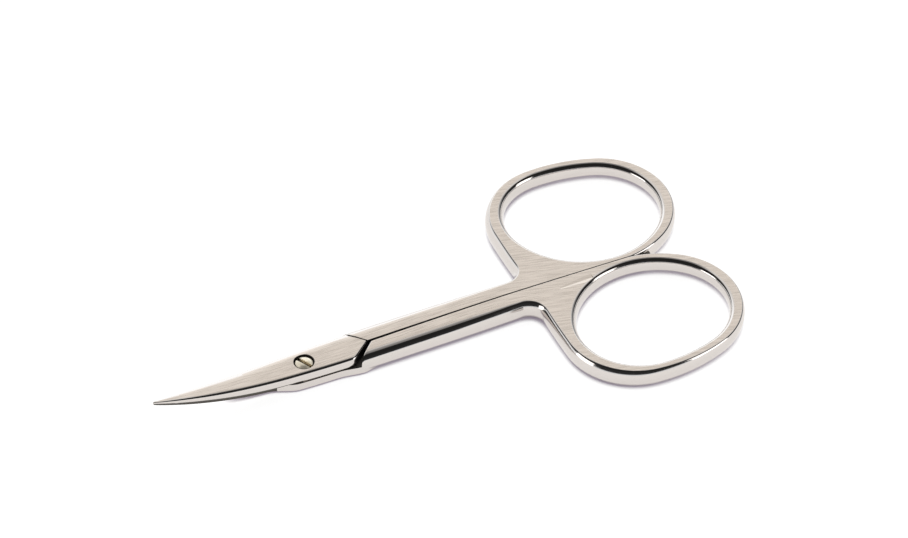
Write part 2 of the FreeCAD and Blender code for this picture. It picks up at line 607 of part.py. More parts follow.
def pivot_screw(label):
    """The slotted screw: countersunk head, plain pivot in the upper half, thread in the lower half."""
    body = doc.addObject("PartDesign::Body", label)
    body.Label = label
    head = size.head_diameter / 2
    pivot = size.pivot_diameter / 2
    thread = size.thread_diameter / 2
    top = lap_face - size.head_recess
    rim = top - size.head_rim
    top_formula = LAP_FACE + " - Sizes.head_recess"
    rim_formula = top_formula + " - Sizes.head_rim"
    seat_formula = "-Sizes.layer_gap / 2"
    points = [(0.0, -lap_face), (thread, -lap_face), (thread, -contact), (pivot, -contact),
              (pivot, rim - size.head_cone), (head, rim), (head, top), (0.0, top)]
    formulas = [("0", "-(%s)" % LAP_FACE), ("Sizes.thread_diameter / 2", "-(%s)" % LAP_FACE),
                ("Sizes.thread_diameter / 2", seat_formula), ("Sizes.pivot_diameter / 2", seat_formula),
                ("Sizes.pivot_diameter / 2", rim_formula + " - Sizes.head_cone"),
                ("Sizes.head_diameter / 2", rim_formula), ("Sizes.head_diameter / 2", top_formula),
                ("0", top_formula)]
    turned(body, "turned", "Revolution", points, formulas)
    slot = new_sketch(body, "slot_plan", "XY_Plane")
    slot.AttachmentOffset = Placement(Vector(0, 0, top), Rotation(Vector(0, 0, 1), -size.slot_angle))
    slot.setExpression("AttachmentOffset.Base.z", top_formula)
    slot.setExpression("AttachmentOffset.Rotation.Angle", "-Sizes.slot_angle * 1 deg")
    end = head + size.cutter_margin
    half = size.slot_width / 2
    right = "Sizes.head_diameter / 2 + Sizes.cutter_margin"
    left = "-(%s)" % right
    high = "Sizes.slot_width / 2"
    low = "-" + high
    polygon(slot, [(-end, -half), (end, -half), (end, half), (-end, half)],
            [(left, low), (right, low), (right, high), (left, high)])
    cut = body.newObject("PartDesign::Pocket", "slot")
    cut.Profile = slot
    cut.setExpression("Length", "Sizes.slot_depth")
    doc.recompute()
    return body


# The assembly: the pivot axis moves from the origin to its place along the length, and all of it up
# onto the ground faces

upper_half = scissor_half("upper_half", 1, head_seat)
lower_half = scissor_half("lower_half", -1, thread_hole)
screw = pivot_screw("pivot_screw")
pivot_x = (size.blade_reach - ring_end) / 2
for body, turn in ((upper_half, 0), (lower_half, 180), (screw, 0)):
    body.Placement = Placement(Vector(pivot_x, 0, half_thickness), Rotation(Vector(1, 0, 0), turn))
    body.setExpression("Placement.Base.x", MIDDLE)
    body.setExpression("Placement.Base.z", HALF)
doc.recompute()

# Checks, then one file for each piece

for item in doc.Objects:
    faults = [word for word in item.State if word in ("Invalid", "Error")]
    if faults:
        raise RuntimeError("%s is %s" % (item.Name, faults))

os.makedirs("parts", exist_ok=True)
for body in (upper_half, lower_half, screw):
    shape = body.Shape
    if shape.isNull() or not shape.isValid() or len(shape.Solids) != 1:
        raise RuntimeError("%s is not one valid solid" % body.Label)
    shape.exportStep("parts/%s.step" % body.Label)
    box = shape.BoundBox
    print("%s: %.1f mm3, x %.2f to %.2f, y %.2f to %.2f, z %.2f to %.2f" % (
        body.Label, shape.Volume, box.XMin, box.XMax, box.YMin, box.YMax, box.ZMin, box.ZMax))
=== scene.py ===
# %% [markdown]
# # Cuticle scissors
# Two forged and nickel-plated halves turn on one slotted screw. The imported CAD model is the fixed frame:
# it says where each half lies, how thick it is and what it turns about. This script builds the same
# halves again as smooth meshes, with the softened edges, ground faces and polished sides that a hand tool
# has.

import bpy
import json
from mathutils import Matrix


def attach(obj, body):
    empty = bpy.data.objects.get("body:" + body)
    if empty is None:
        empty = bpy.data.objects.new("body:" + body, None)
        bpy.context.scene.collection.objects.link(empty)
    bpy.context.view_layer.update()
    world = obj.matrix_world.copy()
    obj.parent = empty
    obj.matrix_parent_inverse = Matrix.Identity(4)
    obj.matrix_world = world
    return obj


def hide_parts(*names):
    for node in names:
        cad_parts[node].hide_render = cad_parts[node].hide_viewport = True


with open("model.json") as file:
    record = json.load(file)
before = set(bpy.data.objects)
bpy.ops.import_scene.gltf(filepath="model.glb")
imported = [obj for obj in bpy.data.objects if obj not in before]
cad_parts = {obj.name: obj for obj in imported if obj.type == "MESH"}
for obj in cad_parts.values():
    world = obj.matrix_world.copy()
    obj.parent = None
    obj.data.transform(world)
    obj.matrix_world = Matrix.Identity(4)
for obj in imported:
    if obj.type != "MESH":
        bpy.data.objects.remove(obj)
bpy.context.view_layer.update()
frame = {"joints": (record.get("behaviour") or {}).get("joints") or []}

# %% [markdown]
# ## Units
# Every size below is in millimetres, measured from the pivot axis and from the plane between the two
# blades, as a toolmaker would dimension one half. Only the last step of a piece turns millimetres into
# metres and moves it to the pivot's place in the frame.

# %% Units and the pivot's place
import json
import math
from collections import namedtuple

import bmesh
import bpy
import numpy as np
from mathutils import Vector
from mathutils.geometry import delaunay_2d_cdt

MM = 0.001
pivot = np.array(frame["joints"][0]["pos_m"])
print("pivot in the frame:", pivot / MM, "mm")

# %% [markdown]
# ## Camera
# The photograph looks down at the scissors from a long way off: the two finger rings have nearly the same
# size. A long lens at almost a metre gives that flat perspective. The camera is turned about the object
# with its horizon level, so two angles and a distance place it.

# %% Camera
LOOK_AT = Vector((7.5, 8.4, 3.5)) * MM
CAMERA_TURN = -115.0
CAMERA_RISE = 44.1
CAMERA_DISTANCE = 867.0 * MM
SENSOR_WIDTH = 36.0
LENS = 227.7
NEAREST_SEEN = 10.0 * MM


def direction(turn, rise):
    """Unit vector from a turn about the vertical, counted from +X, and a rise over the floor, in degrees."""
    turn = math.radians(turn)
    rise = math.radians(rise)
    return Vector((math.cos(turn) * math.cos(rise), math.sin(turn) * math.cos(rise), math.sin(rise)))


towards_camera = direction(CAMERA_TURN, CAMERA_RISE)
camera = bpy.data.objects.new("camera", bpy.data.cameras.new("camera"))
camera.data.sensor_width = SENSOR_WIDTH
camera.data.lens = LENS
camera.data.clip_start = NEAREST_SEEN
camera.location = LOOK_AT + towards_camera * CAMERA_DISTANCE
camera.rotation_euler = towards_camera.to_track_quat("Z", "Y").to_euler()
bpy.context.scene.collection.objects.link(camera)
bpy.context.scene.camera = camera
print("camera at", [round(value / MM) for value in camera.location], "mm")

# %% [markdown]
# ## Plan of a handle
# A handle is drawn once, with its ring towards +Y. Its edge is a chain of straight runs and arcs that
# touch each other: shank, neck, hollow crotch, ring, and then straight back along the seam between the
# halves. A curve object could hold this chain, but arrays let each height of the side have its own inset
# outline, which is what a rounded side needs.

# %% Sizes of the plan
NECK_RADIUS = 500.0
CROTCH_RADIUS = 2.3
RING_FRONT = 36.9
FRONT_CORNER = np.array([48.1, 12.8])
FRONT_RADIUS = FRONT_CORNER[0] - RING_FRONT
FAR_RADIUS = 26.7
REAR_CORNER = np.array([54.85, 11.7])
REAR_RADIUS = 11.35
NEAR_RADIUS = 17.0
RING_OVERLAP = 0.55


def circle_round(one, one_radius, two, two_radius, radius):
    """Centre of the arc that runs round two circles: where two circles of the leftover radii cross."""
    run = two - one
    length = np.linalg.norm(run)
    reach = radius - one_radius
    along = (reach ** 2 - (radius - two_radius) ** 2 + length ** 2) / (2 * length)
    across = math.sqrt(reach ** 2 - along ** 2)
    return one + (along * run + across * np.array([-run[1], run[0]])) / length


def bearing(start, end):
    """Angle of the line from one point to another."""
    return math.atan2(end[1] - start[1], end[0] - start[0])


far_side = circle_round(REAR_CORNER, REAR_RADIUS, FRONT_CORNER, FRONT_RADIUS, FAR_RADIUS)
near_y = NEAR_RADIUS - RING_OVERLAP
near_back = math.sqrt((NEAR_RADIUS - REAR_RADIUS) ** 2 - (near_y - REAR_CORNER[1]) ** 2)
near_side = np.array([REAR_CORNER[0] - near_back, near_y])
print("far side about", far_side.round(2), "near side about", near_side.round(2))

# %% [markdown]
# ## Cross-section of a side
# The sides of shank and ring are rounded like a barrel, and polishing has softened the line where they
# meet the ground faces. The softening is broad on the shank, where the wheel passed most, and narrow on
# the ring. A bevel modifier would give one radius everywhere. Here the side, its softened edge and a
# faint crown of the ground face are three circles that touch, so the inset of the edge at a height has a
# closed formula.

# %% Height and inset of the side
SHANK_TOP = 1.75
THINNING_START = 33.0
RING_END = 66.0
RING_END_TOP = 1.2
SIDE_RADIUS = 2.417
SOFT_AT = [9.0, 24.0, 30.0, 37.0]
EDGE_RADIUS = [1.3, 1.25, 0.9, 0.35]
HOLE_EDGE_RADIUS = [0.85] * len(SOFT_AT)
CROWN_WIDE = [0.9, 0.7, 0.5, 0.02]
CROWN_TILT = math.radians(12.0)
SEAM_SOFT = 0.07


def top_at(x):
    """Half the thickness: level along the shank, then falling in a straight line to the ring's end."""
    fall = (SHANK_TOP - RING_END_TOP) / (RING_END - THINNING_START)
    return SHANK_TOP - fall * np.maximum(0.0, x - THINNING_START)


def round_inset(z, top, edge, wide):
    """How far a rounded side lies inside its widest line at height z.

    Three circles touch in turn. From the middle up it is the side's circle, R - sqrt(R^2 - z^2). Then comes
    the edge circle inside it, and last the crown, a large circle that ends level with the ground face.
    """
    height = np.abs(z)
    crown = wide / math.sin(CROWN_TILT)
    crown_low = top - crown * (1 - math.cos(CROWN_TILT))
    edge_z = crown_low - edge * math.cos(CROWN_TILT)
    edge_in = SIDE_RADIUS - np.sqrt((SIDE_RADIUS - edge) ** 2 - edge_z ** 2)
    touch = edge_z * SIDE_RADIUS / (SIDE_RADIUS - edge)
    crown_in = edge_in + (crown - edge) * math.sin(CROWN_TILT)
    low = SIDE_RADIUS - np.sqrt(SIDE_RADIUS ** 2 - height ** 2)
    mid = edge_in - np.sqrt(np.maximum(0.0, edge ** 2 - (height - edge_z) ** 2))
    high = crown_in - np.sqrt(np.maximum(0.0, crown ** 2 - (height - top + crown) ** 2))
    return np.where(height < touch, low, np.where(height < crown_low, mid, high))


def plain_inset(z, top, soft):
    """How far a plain upright face lies back at height z: only its small rounded edge does."""
    rise = np.maximum(0.0, np.abs(z) - top + soft)
    return soft - np.sqrt(np.maximum(0.0, soft ** 2 - rise ** 2))


flat_inset = round_inset(SHANK_TOP, SHANK_TOP, EDGE_RADIUS[0], CROWN_WIDE[0])
print("flat of the shank ends", round(float(flat_inset), 2), "mm inside its side")

# %% [markdown]
# ## Rows of a side
# A side is a grid: columns follow the plan, rows follow the height. Rows crowd together near the ground
# faces, where the normal turns quickly. The first and last rows are a narrow rim inside the ground faces,
# which keeps the soft edge's shading from leaking into the flat.

# %% Rows
STEPS = np.array([
    0.0, 0.0015, 0.004, 0.008, 0.013, 0.02, 0.03, 0.045, 0.08, 0.13, 0.2, 0.3, 0.42, 0.56, 0.7, 0.85,
])
RIM = 0.05
shares = np.concatenate([1 - STEPS, [0.0], STEPS[::-1] - 1])
ROW_SHARE = np.concatenate([[1.0], shares, [-1.0]])[:, None]
ROW_RIM = np.concatenate([[RIM], np.zeros(len(shares)), [RIM]])[:, None]
print(len(ROW_SHARE), "rows")

# %% [markdown]
# ## The outline at every row
# The corner between shank and shoulder slides as the side narrows, and the ring's near side meets the
# seam at another place on each row. So the ends of those runs are worked out for each row, and only then
# filled with points.

# %% Outline of the handle
RUNS = {
    "shank": 56, "neck": 18, "crotch": 26, "front": 16, "front_corner": 44, "far_side": 36,
    "rear_corner": 64, "near_side": 28, "seam": 90, "shoulder": 10, "corner": 6,
}
CORNER_CUT = 0.4


def on_arc(centre, radius, first, last):
    """Points of an arc: the centre plus the radius times cosine and sine of an angle between two ends."""
    share = np.arange(radius.shape[1]) / radius.shape[1]
    angle = first + (last - first) * share
    return np.stack([centre[0] + radius * np.cos(angle), centre[1] + radius * np.sin(angle)], axis=-1)


def on_line(start, end, count, bow):
    """Points of a run that bows to its left: a growing share of the way, plus bow times 4 s (1 - s)."""
    share = (np.arange(count) / count)[None, :, None]
    run = (end - start)[:, None, :]
    left = run[..., ::-1] * [-1, 1] / np.linalg.norm(run, axis=-1, keepdims=True)
    return start[:, None, :] + run * share + left * bow * 4 * share * (1 - share)


def on_bend(before, corner, after, count):
    """Points of a rounded corner: (1 - s)^2 of its start, 2 s (1 - s) of the corner and s^2 of its end."""
    share = (np.arange(count) / count)[None, :, None]
    start = (1 - share) ** 2 * before[:, None]
    middle = 2 * share * (1 - share) * corner[:, None]
    return start + middle + share ** 2 * after[:, None]


Fit = namedtuple("Fit", "shank_side neck_side shoulder_x shoulder_soft lean seam_front seam_rear seam_bow")
UPPER_FIT = Fit(
    shank_side=3.45, neck_side=3.1, shoulder_x=10.45, shoulder_soft=0.05, lean=math.radians(42.0),
    seam_front=0.03, seam_rear=0.05, seam_bow=-0.12,
)
LOWER_FIT = Fit(
    shank_side=3.2, neck_side=3.0, shoulder_x=11.05, shoulder_soft=0.22, lean=math.radians(45.0),
    seam_front=0.32, seam_rear=0.03, seam_bow=0.18,
)
SHOULDER_BOW = 0.02
FRONT_BOW = 0.05


def handle_outline(fit, side, z, top):
    """Outline of the handle on every row, from the inset of its rounded side and the rows' heights."""
    slope = math.tan(fit.lean)
    crotch = np.array([RING_FRONT - CROTCH_RADIUS, fit.neck_side + CROTCH_RADIUS])
    drop = crotch[1] - fit.shank_side + NECK_RADIUS
    neck = crotch - np.array([math.sqrt((NECK_RADIUS + CROTCH_RADIUS) ** 2 - drop ** 2), drop])
    ends = np.cumsum(list(RUNS.values()))[:-1]
    inset = dict(zip(RUNS, np.split(side, ends, axis=1)))
    turn = bearing(neck, crotch)
    to_front = bearing(far_side, FRONT_CORNER)
    to_rear = bearing(far_side, REAR_CORNER)
    to_near = bearing(near_side, REAR_CORNER)
    shank_y = fit.shank_side - inset["shank"]
    seam_inset = (plain_inset(z, top, SEAM_SOFT) + ROW_RIM)[:, -1]
    shoulder_inset = (plain_inset(z, top, fit.shoulder_soft) + ROW_RIM)[:, -1]
    shoulder = fit.shoulder_x + shoulder_inset / math.cos(fit.lean)
    corner = np.stack([shoulder - slope * shank_y[:, 0], shank_y[:, 0]], axis=-1)
    cut = CORNER_CUT * np.array([math.sin(fit.lean), -math.cos(fit.lean)])
    after = corner + np.array([CORNER_CUT, 0.0])
    before = corner + cut
    share = np.arange(RUNS["shank"]) / RUNS["shank"]
    shank_x = after[:, :1] + (neck[0] - after[:, :1]) * share
    share = np.arange(RUNS["front"]) / RUNS["front"]
    front_x = RING_FRONT - FRONT_BOW * 4 * share * (1 - share) + inset["front"]
    front_y = np.broadcast_to(crotch[1] + (FRONT_CORNER[1] - crotch[1]) * share, front_x.shape)
    near_radius = NEAR_RADIUS - inset["near_side"]
    seam_y = fit.seam_rear + seam_inset[:, None]
    to_seam = np.arcsin((seam_y - near_side[1]) / near_radius[:, -1:])
    seam_start = np.concatenate([near_side[0] + near_radius[:, -1:] * np.cos(to_seam), seam_y], axis=1)
    seam_end_y = fit.seam_front + seam_inset
    seam_end = np.stack([shoulder - slope * seam_end_y, seam_end_y], axis=-1)
    return np.concatenate([
        np.stack([shank_x, shank_y], axis=-1),
        on_arc(neck, NECK_RADIUS - inset["neck"], math.pi / 2, turn),
        on_arc(crotch, CROTCH_RADIUS + inset["crotch"], turn + math.pi, 2 * math.pi),
        np.stack([front_x, front_y], axis=-1),
        on_arc(FRONT_CORNER, FRONT_RADIUS - inset["front_corner"], math.pi, to_front),
        on_arc(far_side, FAR_RADIUS - inset["far_side"], to_front, to_rear),
        on_arc(REAR_CORNER, REAR_RADIUS - inset["rear_corner"], to_rear, to_near),
        on_arc(near_side, near_radius, to_near, to_seam),
        on_line(seam_start, seam_end, RUNS["seam"], fit.seam_bow),
        on_line(seam_end, before, RUNS["shoulder"], SHOULDER_BOW),
        on_bend(before, corner, after, RUNS["corner"]),
    ], axis=1)


print("the handle's edge has", sum(RUNS.values()), "columns in", len(RUNS), "runs")

# %% [markdown]
# ## The finger hole
# The hole is an egg of four arcs inside the ring. An ellipse would be simpler, but the real hole is
# blunter at its rear. Its side is rounded in the same way as the outer one, only that the inset makes the
# hole wider.

# %% Outline of the hole
HOLE_FRONT = np.array([49.0, 12.8])
HOLE_FRONT_RADIUS = 9.15
HOLE_REAR = np.array([54.35, 11.7])
HOLE_REAR_RADIUS = 9.45
HOLE_FAR_RADIUS = 24.65
HOLE_LOW = 1.4
HOLE_COLUMNS = [40, 60, 34, 46, 30]


def circle_over(one, one_radius, two, two_radius, low):
    """Centre of the arc round two circles with its lowest point at a height: where two parabolas cross."""
    bend_one = one[1] - one_radius - low
    bend_two = two[1] - two_radius - low
    powers = [
        1 / bend_one - 1 / bend_two,
        -2 * (one[0] / bend_one - two[0] / bend_two),
        one[0] ** 2 / bend_one - two[0] ** 2 / bend_two + one[1] + one_radius - two[1] - two_radius,
    ]
    crossings = np.roots(powers).real
    x = crossings[np.argmin(np.abs(crossings - (one[0] + two[0]) / 2))]
    return np.array([x, (low + one_radius + one[1]) / 2 + (x - one[0]) ** 2 / (2 * bend_one)])


hole_near = circle_over(HOLE_FRONT, HOLE_FRONT_RADIUS, HOLE_REAR, HOLE_REAR_RADIUS, HOLE_LOW)
hole_far = circle_round(HOLE_REAR, HOLE_REAR_RADIUS, HOLE_FRONT, HOLE_FRONT_RADIUS, HOLE_FAR_RADIUS)
hole_near_radius = hole_near[1] - HOLE_LOW


def hole_outline(side):
    """Outline of the hole on every row: four arcs that touch, each widened by the inset."""
    inset = np.split(side, np.cumsum(HOLE_COLUMNS)[:-1], axis=1)
    low = -math.pi / 2
    rear_low = bearing(hole_near, HOLE_REAR)
    rear_top = bearing(hole_far, HOLE_REAR)
    front_top = bearing(hole_far, HOLE_FRONT)
    front_low = bearing(hole_near, HOLE_FRONT) % (2 * math.pi)
    return np.concatenate([
        on_arc(hole_near, hole_near_radius + inset[0], low, rear_low),
        on_arc(HOLE_REAR, HOLE_REAR_RADIUS + inset[1], rear_low, rear_top),
        on_arc(hole_far, HOLE_FAR_RADIUS + inset[2], rear_top, front_top),
        on_arc(HOLE_FRONT, HOLE_FRONT_RADIUS + inset[3], front_top, front_low),
        on_arc(hole_near, hole_near_radius + inset[4], front_low, low + 2 * math.pi),
    ], axis=1)


print("hole's near side about", hole_near.round(2), "radius", round(hole_near_radius, 2))

# %% [markdown]
# ## From outlines to a grid of points
# The height of a row depends on how thick the ring is there, and the inset depends on that height, while
# the inset in turn moves the point. Repeating the three steps a few times settles them.

# %% Settle the rows
SETTLING_ROUNDS = 4


def settle(outline, columns, edge_radius):
    """Grid of points of one side, as rows by columns by xyz."""
    x = np.full((len(ROW_SHARE), columns), REAR_CORNER[0])
    for step in range(SETTLING_ROUNDS):
        top = top_at(x)
        z = ROW_SHARE * top
        edge = np.interp(x, SOFT_AT, edge_radius)
        wide = np.interp(x, SOFT_AT, CROWN_WIDE)
        plan = outline(round_inset(z, top, edge, wide) + ROW_RIM, z, top)
        x = plan[..., 0]
    return np.concatenate([plan, z[..., None]], axis=-1)


hole_side = settle(lambda side, z, top: hole_outline(side), sum(HOLE_COLUMNS), HOLE_EDGE_RADIUS)
print("hole side:", hole_side.shape)

# %% [markdown]
# ## The ground faces
# The flat between the outer edge and the hole has no natural grid, so it is filled with triangles: the
# two edges, plus points a millimetre apart between them, go through Blender's own Delaunay triangulation.
# The triangles over the hole are dropped.

# %% Fill a flat
FILL_STEP = 1.0
INSIDE_OUTER_EDGE = 1
SAME_POINT = 1e-6


def within(points, loop):
    """Which points lie inside a closed loop: a line to the right crosses it an odd number of times."""
    ends = np.roll(loop, -1, axis=0)
    y = points[:, 1:2]
    crosses = (loop[:, 1] > y) != (ends[:, 1] > y)
    rise = np.where(crosses, ends[:, 1] - loop[:, 1], 1.0)
    x = loop[:, 0] + (y - loop[:, 1]) / rise * (ends[:, 0] - loop[:, 0])
    return np.sum(crosses & (points[:, :1] < x), axis=1) % 2 == 1


def fill_flat(outer, hole):
    """Extra points between two loops, and the triangles over outer loop, hole loop and extra points."""
    reach = [np.arange(outer[:, axis].min(), outer[:, axis].max(), FILL_STEP) for axis in (0, 1)]
    extra = np.stack(np.meshgrid(*reach), axis=-1).reshape(-1, 2)
    extra = extra[within(extra, outer) & ~within(extra, hole)]
    rims = np.concatenate([outer, hole])
    room = np.linalg.norm(extra[:, None] - rims[None], axis=-1).min(axis=1)
    extra = extra[room > FILL_STEP / 2]
    points = np.concatenate([rims, extra])
    outer_ring = np.arange(len(outer))
    hole_ring = len(outer) + np.arange(len(hole))
    edges = [np.stack([ring, np.roll(ring, -1)], axis=1) for ring in (outer_ring, hole_ring)]
    places = [Vector(point) for point in points.tolist()]
    found = delaunay_2d_cdt(places, np.concatenate(edges).tolist(), [], INSIDE_OUTER_EDGE, SAME_POINT)
    source = np.array([ids[0] for ids in found[3]])
    triangles = source[np.array(found[2])]
    return extra, triangles[~within(points[triangles].mean(axis=1), hole)]


# %% [markdown]
# ## Putting arrays into a mesh
# A grid's faces follow from its indices alone: each cell joins a point, its neighbour along the row, and
# the two below. The helpers make them for a whole grid at once.

# %% Mesh helpers
def band_faces(rows, columns, first):
    """Four-cornered faces of a grid that closes on itself along its columns."""
    index = first + np.arange(rows * columns).reshape(rows, columns)
    beside = np.roll(index, -1, axis=1)
    return np.stack([index[:-1], beside[:-1], beside[1:], index[1:]], axis=-1).reshape(-1, 4).tolist()


def tube_faces(rows, columns):
    """Faces of such a grid with its first and last row filled, so that it is closed."""
    ends = [list(range(columns)), list(range(rows * columns - 1, (rows - 1) * columns - 1, -1))]
    return band_faces(rows, columns, 0) + ends


def new_piece(name, points, faces):
    """A mesh object from points and faces."""
    mesh = bpy.data.meshes.new(name)
    mesh.from_pydata(points.tolist(), [], faces)
    mesh.validate()
    print("new mesh", name, "with", len(mesh.polygons), "faces")
    piece = bpy.data.objects.new(name, mesh)
    bpy.context.scene.collection.objects.link(piece)
    return piece


# %% [markdown]
# ## One handle
# Shank and ring of the real half are one forged bar, flattened and opened into a ring. The two sides and
# two ground faces share their points along the rims, so the handle is one closed skin, as a Boolean needs
# it.

# %% Build a handle
def handle(name, fit):
    """Handle of one half: outer side, hole side, and the two filled flats between their rims."""
    outer_side = settle(lambda *rows: handle_outline(fit, *rows), sum(RUNS.values()), EDGE_RADIUS)
    fill_points, fill_triangles = fill_flat(outer_side[0, :, :2], hole_side[0, :, :2])
    print(name, "has", len(fill_triangles), "triangles in each ground face")
    rows, outer_count = outer_side.shape[:2]
    hole_count = hole_side.shape[1]
    extra = np.concatenate([fill_points, top_at(fill_points[:, :1])], axis=1)
    points = np.concatenate([outer_side.reshape(-1, 3), hole_side.reshape(-1, 3), extra, extra * [1, 1, -1]])
    hole_first = rows * outer_count
    top_first = hole_first + rows * hole_count
    low_first = top_first + len(extra)
    top_index = np.concatenate([
        np.arange(outer_count),
        hole_first + np.arange(hole_count),
        top_first + np.arange(len(extra)),
    ])
    low_index = np.concatenate([
        (rows - 1) * outer_count + np.arange(outer_count),
        hole_first + (rows - 1) * hole_count + np.arange(hole_count),
        low_first + np.arange(len(extra)),
    ])
    faces = band_faces(rows, outer_count, 0) + band_faces(rows, hole_count, hole_first)
    faces += top_index[fill_triangles].tolist() + low_index[fill_triangles[:, ::-1]].tolist()
    return new_piece(name, points, faces)


# %% [markdown]
# ## Lap and blade
# In front of the shoulder each half is only half as thick: the lap, where the two cross, runs on into a
# slim blade that bends up towards its tip. A row of stations along the length, each with the same closed
# section, follows that bend. The section has a rounded back edge and a crowned cutting side that catches
# the light. A small bevel runs under the back, and the lower blade's cutting edge lies a little behind
# the upper blade's back, so that two thin dark lines run along the closed blades. Both lines are partly
# painted shade as well: their faces get the dark grey given further down.

# %% Sizes of the blade
BLADE_REACH = 24.25
BEND_START = 2.7
TIP_RISE = 3.2
TIP_THICKNESS = 0.3
TIP_WIDTH = 0.2
TIP_ROUND = 0.15
LAP_REAR = 7.2
LAP_BACK = 2.62
BACK_FROM = 12.0
LAP_EDGE = 2.75
LOWER_LAP_EDGE = 2.6
LAP_END = 10.6
LAP_FACE = 1.63
CONTACT = 0.03
REAR_SLOPE = 0.83
REAR_ROUND = 0.18
FLARE = 0.55
FLARE_FROM = 4.5
FLARE_TO = 8.8
FLARE_SINK = 0.5
SET_BACK_FROM = -1.6
SET_BACK_TO = -6.4
SET_BACK_SHARE = 0.35
LEFT_IN_SIGHT = 0.35


def sag(distance, run, rise):
    """Height of a circle that starts level and climbs by rise over run: R - sqrt(R^2 - s^2), R signed."""
    radius = (run ** 2 + rise ** 2) / (2 * rise)
    return radius - math.copysign(1, radius) * np.sqrt(radius ** 2 - distance ** 2)


def part_way(x, start, end):
    """Share of the way from start to end, kept between 0 and 1."""
    return np.clip((x - start) / (end - start), 0.0, 1.0)


def eased(share):
    """A share that starts and ends softly: s^2 (3 - 2 s)."""
    return share ** 2 * (3 - 2 * share)


def blade_edges(x, bend):
    """Back, cutting edge, contact face and outer face of lap and blade at stations x.

    bend is +1 for the half whose blade bends away from the contact plane and -1 for the other one. The four
    lines are arcs that start level at the lap. The back is the larger one of its arc and the lap's slanted
    rear end, rounded where they meet: (a + b) / 2 + sqrt(((a - b) / 2)^2 + r^2).
    """
    reach = LAP_EDGE if bend > 0 else LOWER_LAP_EDGE
    back = -LAP_BACK + sag(np.minimum(0.0, x - BACK_FROM), BLADE_REACH + BACK_FROM, LAP_BACK - TIP_WIDTH)
    rear = -LAP_BACK + REAR_SLOPE * (x - LAP_REAR)
    back = (back + rear) / 2 + np.sqrt(((back - rear) / 2) ** 2 + REAR_ROUND ** 2)
    edge = reach - sag(np.minimum(0.0, x - LAP_REAR), BLADE_REACH + LAP_REAR, reach)
    past = np.minimum(0.0, x + BEND_START)
    tip = BLADE_REACH - BEND_START
    low = CONTACT + sag(past, tip, bend * TIP_RISE)
    high = LAP_FACE + sag(past, tip, CONTACT + bend * TIP_RISE + TIP_THICKNESS - LAP_FACE)
    if bend < 0:
        flare = FLARE * eased(part_way(x, FLARE_FROM, FLARE_TO))
        edge = edge + flare - FLARE_SINK * part_way(x, FLARE_TO, LAP_END)
        behind = np.clip(high - low - LEFT_IN_SIGHT, 0.0, SET_BACK_SHARE * (edge - back))
        edge = edge - behind * eased(part_way(x, SET_BACK_FROM, SET_BACK_TO))
    return back, edge, low, high


lap_back, lap_edge, lap_low, lap_high = blade_edges(np.zeros(1), 1)
print("lap at the pivot:", round(float((lap_edge - lap_back)[0]), 2), "mm wide and",
      round(float((lap_high - lap_low)[0]), 2), "mm thick")

# %% [markdown]
# The section itself goes once round the blade: contact face, cutting edge, crown, flat, back and bevel.
# Towards the tip every part of it is held to a share of what width or thickness is left, so nothing
# crosses over.

# %% Section of the blade
CROWN_WIDTH = 1.5
CROWN_SLOPES = (0.02, 0.32)
CROWN_POINTS = 6
BACK_SOFT = 0.5
BACK_POINTS = 7
SOFT_SHARE = 0.4
EDGE_BREAK = 0.1
EDGE_SHARE = 0.15
BACK_BREAK = 0.22
BREAK_SHARE = 0.2
BREAK_RUN = 1.0


def blade_section(x, bend):
    """Closed sections of lap and blade at stations x, as stations by points by (y, z).

    The crown falls from the flat by a slope that grows evenly from a to b over its width w, which is
    a s + (b - a) s^2 / (2 w). The back's top is a quarter circle.
    """
    back, edge, low, high = blade_edges(x, bend)
    width = np.minimum(CROWN_WIDTH, SOFT_SHARE * (edge - back))
    crown = np.linspace(0.0, 1.0, CROWN_POINTS)[:, None] * width
    drop = CROWN_SLOPES[0] * crown + (CROWN_SLOPES[1] - CROWN_SLOPES[0]) * crown ** 2 / (2 * width)
    soft = np.minimum(BACK_SOFT, SOFT_SHARE * (high - low))
    turn = np.linspace(0.0, math.pi / 2, BACK_POINTS)[:, None]
    broken = np.minimum(EDGE_BREAK, EDGE_SHARE * (edge - back))
    wider = part_way(x, SET_BACK_FROM + BREAK_RUN, SET_BACK_FROM)
    bevel = np.minimum(EDGE_BREAK + (BACK_BREAK - EDGE_BREAK) * wider, BREAK_SHARE * (high - low))
    y = np.concatenate([
        [back + broken, edge - broken, edge, edge],
        (edge - width + crown)[::-1],
        [edge - width - RIM, back + soft + RIM],
        back + soft - soft * np.sin(turn),
        [back, back, back],
    ])
    z = np.concatenate([
        [low, low, low + broken, high - drop[-1] - broken / 2],
        (high - drop)[::-1],
        [high, high],
        high - soft + soft * np.cos(turn),
        [high - soft - RIM, low + bevel + RIM, low + bevel],
    ])
    return np.stack([y, z], axis=-1).transpose(1, 0, 2)


print("points of a blade's section:", blade_section(np.zeros(1), 1).shape[1])

# %% [markdown]
# A blade is ground to a fine tip, but a real tip is never a knife's edge in plan. The stations crowd
# there and shrink the section like the end of an ellipse. They also crowd at the lap's rear corner, which
# is round.

# %% Build a blade
TIP_BLUNT = 0.15
TIP_STATIONS = 9
BODY_STATIONS = 96
CORNER_REACH = 1.0
CORNER_STATIONS = 34
END_STATIONS = 12


